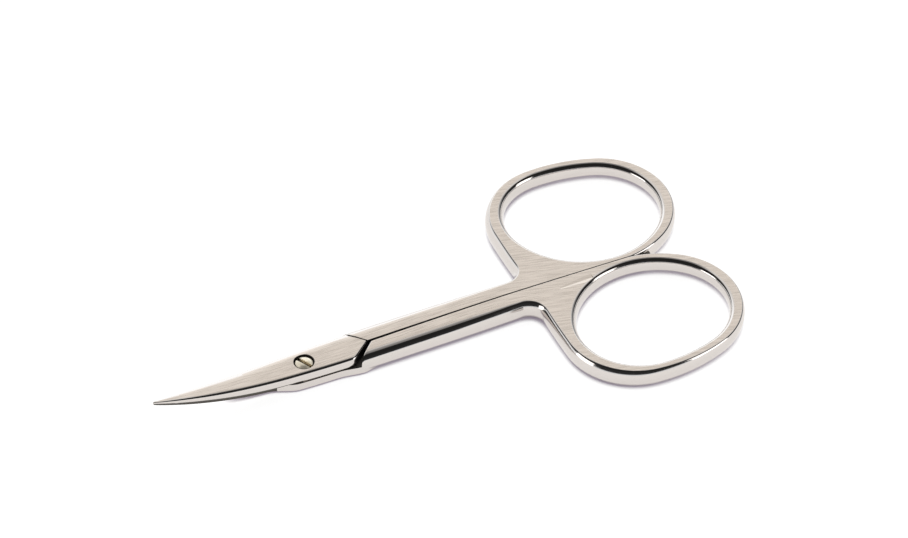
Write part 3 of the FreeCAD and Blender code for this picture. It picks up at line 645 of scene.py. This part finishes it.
def blade(name, bend):
    """Lap and blade of one half: its sections, shrunk to their middle by sqrt(1 - s^2) at the tip."""
    tip_turn = np.linspace(TIP_BLUNT, math.pi / 2, TIP_STATIONS)
    tip = -BLADE_REACH + TIP_ROUND * (1 - np.cos(tip_turn))
    corner = LAP_REAR - CORNER_REACH, LAP_REAR + CORNER_REACH
    body = np.linspace(tip[-1], corner[0], BODY_STATIONS)[1:]
    rear = np.linspace(*corner, CORNER_STATIONS)[1:]
    end = np.linspace(corner[1], LAP_END, END_STATIONS)[1:]
    x = np.concatenate([tip, body, rear, end])
    section = blade_section(x, bend)
    near_tip = np.clip((-BLADE_REACH + TIP_ROUND - x) / TIP_ROUND, 0.0, 1.0)
    scale = np.sqrt(1 - near_tip ** 2)[:, None, None]
    middle = section.mean(axis=1, keepdims=True)
    section = middle + (section - middle) * scale
    stations, count = section.shape[:2]
    along = np.broadcast_to(x[:, None, None], (stations, count, 1))
    points = np.concatenate([along, section], axis=-1).reshape(-1, 3)
    return new_piece(name, points, tube_faces(stations, count))


# %% [markdown]
# ## Turned shapes
# The screw and the holes for it are turned on a lathe, so each is a half section swept round the pivot
# axis. A screw modifier does the same, but here the points are at hand for the closed ends.

# %% Turn a section
TURN_STEPS = 96


def turned(name, section):
    """A solid of revolution: each (radius, height) of the section, carried round the axis."""
    radius, height = np.array(section).T
    angle = np.arange(TURN_STEPS) * 2 * math.pi / TURN_STEPS
    x = radius[:, None] * np.cos(angle)
    y = radius[:, None] * np.sin(angle)
    z = np.broadcast_to(height[:, None], x.shape)
    points = np.stack([x, y, z], axis=-1).reshape(-1, 3)
    faces = band_faces(len(radius), TURN_STEPS, 0)
    faces.append(list(range(TURN_STEPS))[::-1])
    faces.append(list(range((len(radius) - 1) * TURN_STEPS, len(radius) * TURN_STEPS)))
    return new_piece(name, points, faces)


# %% [markdown]
# ## Joining and cutting
# A forged half is one body, so its handle and blade are joined by an exact Boolean, and the screw's hole
# is cut in the same way. The result is read back as a plain mesh and the working pieces are removed.

# %% Join and cut
def combine(piece, tool, operation):
    """The piece's mesh after one Boolean with a tool, which is removed."""
    step = piece.modifiers.new(operation.lower(), "BOOLEAN")
    step.operation = operation
    step.solver = "EXACT"
    step.object = tool
    view = bpy.context.evaluated_depsgraph_get()
    mesh = bpy.data.meshes.new_from_object(piece.evaluated_get(view))
    piece.modifiers.clear()
    old = piece.data
    piece.data = mesh
    mesh.name = piece.name
    bpy.data.meshes.remove(old)
    bpy.data.objects.remove(tool)


def point_outwards(piece):
    """Turns every face outwards on a closed mesh."""
    work = bmesh.new()
    work.from_mesh(piece.data)
    bmesh.ops.recalc_face_normals(work, faces=work.faces)
    work.to_mesh(piece.data)
    work.free()


# %% [markdown]
# ## The two halves
# The upper half has a bore for the screw's neck and a countersunk seat, with a broken edge, for its head.
# The lower half has the threaded hole, drawn as a plain one. Both halves come from the same functions,
# and only their few measures of fit differ.

# %% Build both halves
HEAD_RADIUS = 1.38
PIVOT_RADIUS = 1.05
THREAD_RADIUS = 0.9
HEAD_SUNK = 0.25
RIM_HEIGHT = 0.15
HEAD_TOP = LAP_FACE - HEAD_SUNK
HEAD_RIM = HEAD_TOP - RIM_HEIGHT
HEAD_CONE = 0.5
SEAT_GAP = 0.12
SEAT_RADIUS = HEAD_RADIUS + SEAT_GAP
SEAT_BREAK = 0.1
BORE_GAP = 0.03
THREAD_GAP = 0.02
THROUGH = 2.5
seat_section = [
    (PIVOT_RADIUS + BORE_GAP, -THROUGH),
    (PIVOT_RADIUS + BORE_GAP, HEAD_RIM - HEAD_CONE - SEAT_GAP),
    (SEAT_RADIUS, HEAD_RIM - SEAT_GAP),
    (SEAT_RADIUS, LAP_FACE - SEAT_BREAK),
    (SEAT_RADIUS + SEAT_BREAK, LAP_FACE),
    (SEAT_RADIUS + 3 * SEAT_BREAK, LAP_FACE + 2 * SEAT_BREAK),
]
thread_section = [(THREAD_RADIUS + THREAD_GAP, -THROUGH), (THREAD_RADIUS + THREAD_GAP, THROUGH)]


def half(name, fit, bend, hole_section):
    """One forged half: handle joined to lap and blade, with the hole for the screw."""
    piece = handle(name, fit)
    front = blade(name + "_blade", bend)
    hole = turned(name + "_hole", hole_section)
    for part in (piece, front, hole):
        point_outwards(part)
    combine(piece, front, "UNION")
    combine(piece, hole, "DIFFERENCE")
    return piece


upper = half("upper_half_body", UPPER_FIT, 1, seat_section)
lower = half("lower_half_body", LOWER_FIT, -1, thread_section)
print("faces:", len(upper.data.polygons), "upper,", len(lower.data.polygons), "lower")

# %% [markdown]
# ## A facet beside the finger hole
# On the near handle the polishing wheel ran past the hole's edge and left a slim bright facet on the
# ground face. It leans a few degrees away from the camera and fades out towards the shank. A shallow
# wedge that is cut off there gives it, with a second slope that brings the face back to its level.

# %% Cut the facet
FACET_X = np.array([41.3, 46.9])
FACET_WIDTH = np.array([0.2, 0.75])
FACET_NEAR = np.array([2.2, 2.45])
FACET_LEAN = math.tan(math.radians(9.5))
FACET_SPARE = 0.3
CUT_OVER = 1.0


def facet_cutter():
    """A wedge over the lower half's ground face: down by the lean over the facet's width, then up again."""
    middle = FACET_NEAR - FACET_WIDTH
    near = FACET_NEAR + FACET_SPARE
    far = middle - FACET_WIDTH - FACET_SPARE
    face = top_at(FACET_X)
    over = face + FACET_SPARE * FACET_LEAN
    across = np.stack([near, middle, far, far, near], axis=1)
    top = face + CUT_OVER
    level = np.stack([over, face - FACET_WIDTH * FACET_LEAN, over, top, top], axis=1)
    along = np.broadcast_to(FACET_X[:, None], across.shape)
    points = np.stack([along, across, -level], axis=-1).reshape(-1, 3)
    return new_piece("facet_cutter", points, tube_faces(*across.shape))


wedge = facet_cutter()
point_outwards(wedge)
combine(lower, wedge, "DIFFERENCE")
print("faces of the lower half with its facet:", len(lower.data.polygons))

# %% [markdown]
# ## The screw
# The head lies a little below the lap's face. Its top is faintly domed, so its two halves catch different
# light, and a straight slot crosses it. It is turned like a real screw, and then the slot is cut as a saw
# would cut it.

# %% Build the screw
DOME = 0.3
SLOT_WIDTH = 0.5
SLOT_DEPTH = 0.4
SLOT_TURN = math.radians(-61.0)
SLOT_SPARE = 0.5
SLOT_FLARE = 0.2
SLOT_OVER = 0.4
DOME_EDGE = 0.06
DOME_POINTS = 12
DOME_MIDDLE = 0.02
THREAD_BREAK = 0.12
RIM_BREAK = 0.05


def dome_section():
    """Half section of the screw up to the middle of its head, which is a dome of h (1 - r^2 / R^2)."""
    share = np.cos(np.linspace(0.0, math.pi / 2, DOME_POINTS))[:-1]
    radius = (HEAD_RADIUS - DOME_EDGE) * np.append(share, DOME_MIDDLE)
    height = HEAD_TOP + DOME * (1 - (radius / HEAD_RADIUS) ** 2)
    shaft = [
        (THREAD_RADIUS - THREAD_BREAK, -LAP_FACE),
        (THREAD_RADIUS, -LAP_FACE + THREAD_BREAK),
        (THREAD_RADIUS, -CONTACT),
        (PIVOT_RADIUS, -CONTACT),
        (PIVOT_RADIUS, HEAD_RIM - HEAD_CONE),
        (HEAD_RADIUS, HEAD_RIM),
        (HEAD_RADIUS, HEAD_TOP - RIM_BREAK),
    ]
    return shaft + list(zip(radius, height))


def slot_cutter():
    """A straight bar across the head whose sides open a little at the top."""
    reach = HEAD_RADIUS + SLOT_SPARE
    side = SLOT_WIDTH / 2
    floor_z = HEAD_TOP - SLOT_DEPTH
    over = HEAD_TOP + SLOT_OVER
    across = np.array([-side, side, side, side + SLOT_FLARE, -side - SLOT_FLARE, -side])
    height = np.array([floor_z, floor_z, HEAD_TOP, over, over, HEAD_TOP])
    along = np.array([-reach, reach])[:, None] * np.ones(len(across))
    x = along * math.cos(SLOT_TURN) - across * math.sin(SLOT_TURN)
    y = along * math.sin(SLOT_TURN) + across * math.cos(SLOT_TURN)
    points = np.stack([x, y, np.broadcast_to(height, x.shape)], axis=-1).reshape(-1, 3)
    return new_piece("slot_cutter", points, tube_faces(*x.shape))


screw = turned("pivot_screw_body", dome_section())
cutter = slot_cutter()
point_outwards(screw)
point_outwards(cutter)
combine(screw, cutter, "DIFFERENCE")
print("screw faces:", len(screw.data.polygons))

# %% [markdown]
# ## Finish of the metal
# The ground faces carry fine brush strokes along the tool and the rounded sides are polished. Where the
# halves meet and along the blades' dark lines, shade is painted on as a dark grey steel: painted shade.
# These are three materials on one mesh, chosen by which way a face looks and where it lies. A map that
# follows the strokes, in millimetres, is stored with the mesh, because the strokes swing a little where
# the shank widens into the ring. An image could hold the strokes too, but noise that is drawn out along
# them has no seams and no pixels.

# %% Helpers for metals
NOISE_LOW = 0.3
NOISE_HIGH = 0.7


def metal(name, colour, roughness):
    """A metal with its fixed values on the shader's own sockets; returns material, nodes and shader."""
    material = bpy.data.materials.new(name)
    material.use_nodes = True
    shader = material.node_tree.nodes["Principled BSDF"]
    shader.inputs["Base Color"].default_value = colour
    shader.inputs["Metallic"].default_value = 1.0
    shader.inputs["Roughness"].default_value = roughness
    return material, material.node_tree, shader


def streaks(tree, length, width, detail):
    """Noise drawn out along the brush strokes: the stroke map, divided by a stroke's length and width."""
    place = tree.nodes.new("ShaderNodeUVMap")
    place.uv_map = "strokes"
    stretch = tree.nodes.new("ShaderNodeMapping")
    stretch.inputs["Scale"].default_value = (1 / length, 1 / width, 1.0)
    noise = tree.nodes.new("ShaderNodeTexNoise")
    noise.inputs["Scale"].default_value = 1.0
    noise.inputs["Detail"].default_value = detail
    tree.links.new(place.outputs["UV"], stretch.inputs["Vector"])
    tree.links.new(stretch.outputs["Vector"], noise.inputs["Vector"])
    return noise.outputs["Fac"]


def remap(tree, value, low, high):
    """The noise, whose values lie mostly between NOISE_LOW and NOISE_HIGH, spread from low to high."""
    node = tree.nodes.new("ShaderNodeMapRange")
    node.inputs["From Min"].default_value = NOISE_LOW
    node.inputs["From Max"].default_value = NOISE_HIGH
    node.inputs["To Min"].default_value = low
    node.inputs["To Max"].default_value = high
    tree.links.new(value, node.inputs["Value"])
    return node.outputs["Result"]


def bump(tree, shader, value, height):
    """Lets a value raise the surface by a height in metres."""
    node = tree.nodes.new("ShaderNodeBump")
    node.inputs["Strength"].default_value = 1.0
    node.inputs["Distance"].default_value = height
    tree.links.new(value, node.inputs["Height"])
    tree.links.new(node.outputs["Normal"], shader.inputs["Normal"])


# %% [markdown]
# A brushed face is not evenly rough: each stroke is a little brighter or darker, smoother or rougher than
# the next one. The same noise drives colour, roughness and a very low bump. The polished sides keep only
# a trace of the strokes, and the painted shade, a plain dark grey, has none.

# %% Brushed and polished steel, and the painted shade
NICKEL = (0.70, 0.62, 0.545, 1.0)
BRUSH_LENGTH = 4.0
BRUSH_WIDTH = 0.25
BRUSH_DETAIL = 4.0
BRUSH_ROUGH = (0.22, 0.36)
BRUSH_SHADES = (0.82, 1.12)
BRUSH_HEIGHT = 0.006 * MM
POLISHED_NICKEL = (0.68, 0.635, 0.60, 1.0)
POLISH_LENGTH = 3.0
POLISH_WIDTH = 0.3
POLISH_DETAIL = 2.0
POLISH_ROUGH = (0.07, 0.14)
# Painted shade: a dark grey steel for faces in the gaps where the halves meet, round the screw's seat and
# along the blades' lower lines, where shade falls.
PAINTED_SHADE_GREY = (0.1, 0.09, 0.08, 1.0)
PAINTED_SHADE_ROUGH = 0.5

brushed, tree, shader = metal("brushed_steel", NICKEL, sum(BRUSH_ROUGH) / 2)
stroke = streaks(tree, BRUSH_LENGTH, BRUSH_WIDTH, BRUSH_DETAIL)
tree.links.new(remap(tree, stroke, *BRUSH_ROUGH), shader.inputs["Roughness"])
shade = tree.nodes.new("ShaderNodeValToRGB")
for step, position, level in zip(shade.color_ramp.elements, (NOISE_LOW, NOISE_HIGH), BRUSH_SHADES):
    step.position = position
    step.color = (*[level * value for value in NICKEL[:3]], 1.0)
tree.links.new(stroke, shade.inputs["Fac"])
tree.links.new(shade.outputs["Color"], shader.inputs["Base Color"])
bump(tree, shader, stroke, BRUSH_HEIGHT)

polished, tree, shader = metal("polished_steel", POLISHED_NICKEL, sum(POLISH_ROUGH) / 2)
stroke = streaks(tree, POLISH_LENGTH, POLISH_WIDTH, POLISH_DETAIL)
tree.links.new(remap(tree, stroke, *POLISH_ROUGH), shader.inputs["Roughness"])

painted_shade_metal = metal("painted_shade_steel", PAINTED_SHADE_GREY, PAINTED_SHADE_ROUGH)[0]
print("materials:", brushed.name, polished.name, painted_shade_metal.name)

# %% [markdown]
# The screw is turned from a warmer alloy. Its fine rings follow the lathe, so the pattern reads the
# distance from the pivot axis instead of the stroke map.

# %% Turned screw steel
SCREW_WARM = (0.74, 0.67, 0.54, 1.0)
SCREW_ROUGH = (0.16, 0.3)
RING_PITCH = 0.08
RING_WANDER = 1.5
RING_HEIGHT = 0.002 * MM
WAVES_AT_SCALE_ONE = 20

screw_steel, tree, shader = metal("screw_steel", SCREW_WARM, sum(SCREW_ROUGH) / 2)
place = tree.nodes.new("ShaderNodeTexCoord")
centre = tree.nodes.new("ShaderNodeMapping")
centre.inputs["Location"].default_value = tuple(-pivot / MM)
centre.inputs["Scale"].default_value = (1 / MM, 1 / MM, 0.0)
rings = tree.nodes.new("ShaderNodeTexWave")
rings.wave_type = "RINGS"
rings.rings_direction = "Z"
rings.inputs["Scale"].default_value = 1 / RING_PITCH / WAVES_AT_SCALE_ONE
rings.inputs["Distortion"].default_value = RING_WANDER
tree.links.new(place.outputs["Object"], centre.inputs["Vector"])
tree.links.new(centre.outputs["Vector"], rings.inputs["Vector"])
tree.links.new(remap(tree, rings.outputs["Fac"], *SCREW_ROUGH), shader.inputs["Roughness"])
bump(tree, shader, rings.outputs["Fac"], RING_HEIGHT)
print("ring pitch of the screw:", RING_PITCH, "mm")

# %% [markdown]
# ## Which finish goes where
# Painting faces by hand would have to be done again after every change of shape. So a face gets its
# finish by a rule: level faces are brushed, and faces where shade falls get the painted shade, a dark
# grey. Those are the seam, the shoulder, the lap's rear end and the strip of its floor in the gap, the
# screw's seat, the lower blade's cutting edge and the bevel under a blade's back. All others are polished.

# %% Choose the finishes
BRUSHED, POLISHED, PAINTED_SHADE = range(3)
FLAT_LEVEL = 0.985
SQUARELY = 0.9
SEAM_REACH = 0.5
SHOULDER_FACING = (-0.6, -0.5)
SHOULDER_REACH = 5.0
REAR_NORMAL = np.array([REAR_SLOPE, -1.0, 0.0]) / math.hypot(REAR_SLOPE, 1.0)
REAR_SPARE = 0.2
FLOOR_LEVEL = 0.1
FLOOR_STRIP = 2.0
PAINTED_SHADE_EDGE_FROM = -5.0
PAINTED_SHADE_BEVEL_FROM = -1.1
BEVEL_FACING = (-0.8, -0.2)


def facing_and_place(mesh):
    """Direction and middle of every face, as faces by xyz."""
    facing = np.empty(len(mesh.polygons) * 3)
    mesh.polygons.foreach_get("normal", facing)
    middle = np.empty(len(mesh.polygons) * 3)
    mesh.polygons.foreach_get("center", middle)
    return facing.reshape(-1, 3), middle.reshape(-1, 3)


def finish_of(mesh, turned_over):
    """The finish of each face of a half, as the number of its material."""
    facing, middle = facing_and_place(mesh)
    x, y, z = middle.T
    flat = np.abs(facing[:, 2]) > FLAT_LEVEL
    seam = (facing[:, 1] < -SQUARELY) & (np.abs(y) < SEAM_REACH) & (x > LAP_REAR)
    shoulder = (facing[:, :2] < SHOULDER_FACING).all(axis=1) & (np.abs(x - LAP_REAR) < SHOULDER_REACH)
    rear = (facing @ REAR_NORMAL > SQUARELY) & (x > LAP_REAR - REAR_SPARE) & (x < LAP_END)
    lap = flat & (np.abs(z) < FLOOR_LEVEL) & (x > LAP_REAR - FLOOR_STRIP)
    seat = ~flat & (np.hypot(x, y) < SEAT_RADIUS + SEAT_BREAK)
    cutting = turned_over & (facing[:, 1] > SQUARELY) & (x < PAINTED_SHADE_EDGE_FROM)
    under = (facing[:, 1:] < BEVEL_FACING).all(axis=1) & (x < PAINTED_SHADE_BEVEL_FROM)
    # Painted shade: the faces of these masks get a dark grey because shade falls in the gaps and under the
    # blades.
    painted_shade = seam | shoulder | rear | lap | seat | cutting | under
    return np.where(painted_shade, PAINTED_SHADE, np.where(flat, BRUSHED, POLISHED))


print("dull faces of the upper half:", np.count_nonzero(finish_of(upper.data, False) == PAINTED_SHADE))

# %% [markdown]
# ## Setting the pieces down
# Each piece gets smooth faces with crisp edges where two faces meet at a real corner, its stroke map and
# its materials. Only the facet beside the hole stays flat-shaded, because smoothing would blur it. Then
# the points move from the drawing's millimetres to the frame: the lower half is the same drawing turned
# over about its length.

# %% Place and dress
CRISP = math.radians(32.0)
STROKE_SWING = math.tan(math.radians(15.0))
SWING_SOFT = 2.0
LEAN_SPARE = 0.03
LEAST_RISE = 0.01


def points_of(mesh):
    """Points of a mesh, as points by xyz."""
    place = np.empty(len(mesh.vertices) * 3)
    mesh.vertices.foreach_get("co", place)
    return place.reshape(-1, 3)


def stroke_map(mesh):
    """Stroke map in millimetres: along the length, and across it plus a swing times w ln(1 + e^(s / w)).

    s is the distance behind the neck, so the swing sets in softly there and grows evenly further back.
    """
    place = points_of(mesh)
    corner = np.empty(len(mesh.loops), dtype=int)
    mesh.loops.foreach_get("vertex_index", corner)
    behind = np.logaddexp(0.0, (place[:, 0] - THINNING_START) / SWING_SOFT) * SWING_SOFT
    across = place[:, 1] + STROKE_SWING * behind
    strokes = np.stack([place[:, 0], across], axis=1)[corner]
    mesh.uv_layers.new(name="strokes").data.foreach_set("uv", strokes.ravel())


def on_facet(mesh):
    """Which faces belong to the facet: they lean by its angle and lie over its strip."""
    facing, middle = facing_and_place(mesh)
    x, y = middle[:, :2].T
    lean = np.hypot(facing[:, 0], facing[:, 1]) / np.abs(facing[:, 2]).clip(LEAST_RISE)
    across = (y < FACET_NEAR[-1]) & (y > FACET_NEAR[-1] - 2 * FACET_WIDTH[-1])
    along = (x > FACET_X[0]) & (x < FACET_X[-1])
    return (np.abs(lean - FACET_LEAN) < LEAN_SPARE) & across & along


def dress(piece, materials, turned_over=False):
    """Smooths, maps, paints and places a piece."""
    mesh = piece.data
    finish = finish_of(mesh, turned_over) if len(materials) > 1 else np.zeros(len(mesh.polygons))
    smooth = ~on_facet(mesh)
    place = points_of(mesh)
    if turned_over:
        place = place * [1, -1, -1]
    mesh.vertices.foreach_set("co", place.ravel())
    mesh.update()
    stroke_map(mesh)
    mesh.set_sharp_from_angle(angle=CRISP)
    mesh.polygons.foreach_set("use_smooth", smooth)
    mesh.materials.clear()
    for material in materials:
        mesh.materials.append(material)
    mesh.polygons.foreach_set("material_index", finish.astype(np.int32))
    mesh.vertices.foreach_set("co", (place * MM + pivot).ravel())
    mesh.update()


dress(upper, [brushed, polished, painted_shade_metal])
dress(lower, [brushed, polished, painted_shade_metal], turned_over=True)
dress(screw, [screw_steel])
for piece, body, node, slot in (
    (upper, "upper", "upper_half", "steel"),
    (lower, "lower", "lower_half", "steel"),
    (screw, "lower", "pivot_screw", "screw_steel"),
):
    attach(piece, body)
    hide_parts(node)
    print(piece.name, "rides on", body, "and stands for", node)

# %% [markdown]
# ## Floor
# The scissors lie on white paper with hardly any shadow: a thin, faintly violet shade follows them where
# metal and paper nearly touch. The floor scatters light like paper, and a part of its white is its own
# glow, seen only by the camera and in the metal, so it is white without more light on the object. The
# glow fades where much of the sky over a point is covered close by, and that draws the thin shade.

# %% Paper floor
FLOOR_HALF = 3.0
FLOOR_DROP = 0.01 * MM
FLOOR_GLOW = 0.9
PAPER_GREY = (0.5, 0.5, 0.5, 1.0)
SHADOW_REACH = 1.6 * MM
SHADOW_SAMPLES = 16
SHADOW_TINT = (0.2, 0.17, 0.22, 1.0)
SHADOW_OPEN = (0.3, 0.57)

paper = bpy.data.materials.new("white_paper")
paper.use_nodes = True
tree = paper.node_tree
scatter = tree.nodes["Principled BSDF"]
scatter.inputs["Base Color"].default_value = PAPER_GREY
scatter.inputs["Roughness"].default_value = 1.0
scatter.inputs["Specular IOR Level"].default_value = 0.0
shade = tree.nodes.new("ShaderNodeAmbientOcclusion")
shade.samples = SHADOW_SAMPLES
shade.inputs["Distance"].default_value = SHADOW_REACH
tint = tree.nodes.new("ShaderNodeValToRGB")
tint.color_ramp.elements[0].position = SHADOW_OPEN[0]
tint.color_ramp.elements[0].color = SHADOW_TINT
tint.color_ramp.elements[1].position = SHADOW_OPEN[1]
path = tree.nodes.new("ShaderNodeLightPath")
seen = tree.nodes.new("ShaderNodeMath")
seen.operation = "MAXIMUM"
glow = tree.nodes.new("ShaderNodeMath")
glow.operation = "MULTIPLY"
glow.inputs[1].default_value = FLOOR_GLOW
tree.links.new(shade.outputs["AO"], tint.inputs["Fac"])
tree.links.new(tint.outputs["Color"], scatter.inputs["Emission Color"])
tree.links.new(path.outputs["Is Camera Ray"], seen.inputs[0])
tree.links.new(path.outputs["Is Glossy Ray"], seen.inputs[1])
tree.links.new(seen.outputs["Value"], glow.inputs[0])
tree.links.new(glow.outputs["Value"], scatter.inputs["Emission Strength"])
floor_corners = np.array([[-1, -1, 0], [1, -1, 0], [1, 1, 0], [-1, 1, 0]]) * FLOOR_HALF
floor = new_piece("floor", floor_corners - np.array([0, 0, FLOOR_DROP]), [[0, 1, 2, 3]])
floor.data.materials.append(paper)
print("floor", 2 * FLOOR_HALF, "m wide")

# %% [markdown]
# ## Light
# Polished metal shows its surroundings, so the light is built as surroundings, from the direction of a
# ray alone. A bright card stands high behind the object, brighter at its foot and dim straight overhead.
# A low wall and a skirting along the floor light the sides, a dark flag on the right keeps black lines in
# the rings, and the light from low down is a little cooler. A picture of a studio could do this too, but
# a few smooth steps are easier to read and to change. The camera itself sees plain white.

# %% World
ROOM = 0.02
CARD = direction(65.0, 47.0)
CARD_EDGE = (0.62, 0.76)
CARD_RISE = (0.36, 0.66)
CARD_LEVELS = (1.6, 0.93)
OVERHEAD = (0.86, 0.97)
OVERHEAD_LEVEL = 0.3
WALL = direction(95.0, 0.0)
WALL_EDGE = (-0.3, 0.12)
WALL_TOP = (0.12, 0.26)
WALL_LEVEL = 1.2
SKIRTING_TOP = (0.08, 0.14)
FLAG = direction(5.0, 0.0)
FLAG_EDGE = (0.66, 0.82)
FLAG_LEVEL = 0.25
COOL = (0.92, 0.96, 1.0, 1.0)

world = bpy.data.worlds.new("studio")
world.use_nodes = True
bpy.context.scene.world = world
tree = world.node_tree
background = tree.nodes["Background"]
place = tree.nodes.new("ShaderNodeTexCoord").outputs["Generated"]


def towards(way):
    """How far a ray points one way: the dot product of the two directions."""
    node = tree.nodes.new("ShaderNodeVectorMath")
    node.operation = "DOT_PRODUCT"
    node.inputs[1].default_value = way
    tree.links.new(place, node.inputs[0])
    return node.outputs["Value"]


def between(value, edge, low, high):
    """A value that goes softly from low to high while another crosses an edge, given by its two ends."""
    node = tree.nodes.new("ShaderNodeMapRange")
    node.interpolation_type = "SMOOTHSTEP"
    node.inputs["From Min"].default_value = edge[0]
    node.inputs["From Max"].default_value = edge[1]
    node.inputs["To Min"].default_value = low
    node.inputs["To Max"].default_value = high
    tree.links.new(value, node.inputs["Value"])
    return node.outputs["Result"]


def joined(operation, one, two):
    """Product or maximum of two values."""
    node = tree.nodes.new("ShaderNodeMath")
    node.operation = operation
    tree.links.new(one, node.inputs[0])
    tree.links.new(two, node.inputs[1])
    return node.outputs["Value"]


height = towards(Vector((0.0, 0.0, 1.0)))
card = between(towards(CARD), CARD_EDGE, ROOM, 1.0)
card = joined("MULTIPLY", card, between(height, CARD_RISE, *CARD_LEVELS))
card = joined("MULTIPLY", card, between(height, OVERHEAD, 1.0, OVERHEAD_LEVEL))
wall = between(towards(WALL), WALL_EDGE, 0.0, WALL_LEVEL)
wall = joined("MULTIPLY", wall, between(height, WALL_TOP, 1.0, 0.0))
flag = between(towards(FLAG), FLAG_EDGE, 1.0, FLAG_LEVEL)
skirting = between(height, SKIRTING_TOP, 1.0, ROOM)
surroundings = joined("MULTIPLY", joined("MAXIMUM", card, wall), flag)
surroundings = joined("MAXIMUM", surroundings, skirting)
cooler = tree.nodes.new("ShaderNodeValToRGB")
cooler.color_ramp.elements[0].position = CARD_RISE[0]
cooler.color_ramp.elements[0].color = COOL
cooler.color_ramp.elements[1].position = CARD_RISE[1]
path = tree.nodes.new("ShaderNodeLightPath")
tree.links.new(joined("MAXIMUM", height, path.outputs["Is Camera Ray"]), cooler.inputs["Fac"])
tree.links.new(cooler.outputs["Color"], background.inputs["Color"])
strength = joined("MAXIMUM", surroundings, path.outputs["Is Camera Ray"])
tree.links.new(strength, background.inputs["Strength"])
print("bright card towards", [round(value, 2) for value in CARD])

# %% [markdown]
# Two soft boxes, left and right of the scissors and near the floor, draw the white lines inside the
# rings. Bright patches in the world could do that too, but lamps give less noise.

# %% Soft boxes
BOX_DISTANCE = 1.0
BOX_WIDTH = 0.5
BOX_LEVEL = 2.0


def soft_box(name, turn, rise, height):
    """A rectangular lamp that faces the scissors, with a power of pi times its area times its level."""
    lamp = bpy.data.lights.new(name, "AREA")
    lamp.shape = "RECTANGLE"
    lamp.size = BOX_WIDTH
    lamp.size_y = height
    lamp.energy = BOX_LEVEL * math.pi * BOX_WIDTH * height
    box = bpy.data.objects.new(name, lamp)
    side = direction(turn, rise)
    box.location = LOOK_AT + side * BOX_DISTANCE
    box.rotation_euler = side.to_track_quat("Z", "Y").to_euler()
    bpy.context.scene.collection.objects.link(box)
    return box


left_box = soft_box("left_box", turn=176.0, rise=11.0, height=0.36)
right_box = soft_box("right_box", turn=-44.0, rise=14.0, height=0.46)
bpy.context.scene.view_settings.view_transform = "Standard"
print("lamps:", left_box.name, right_box.name)
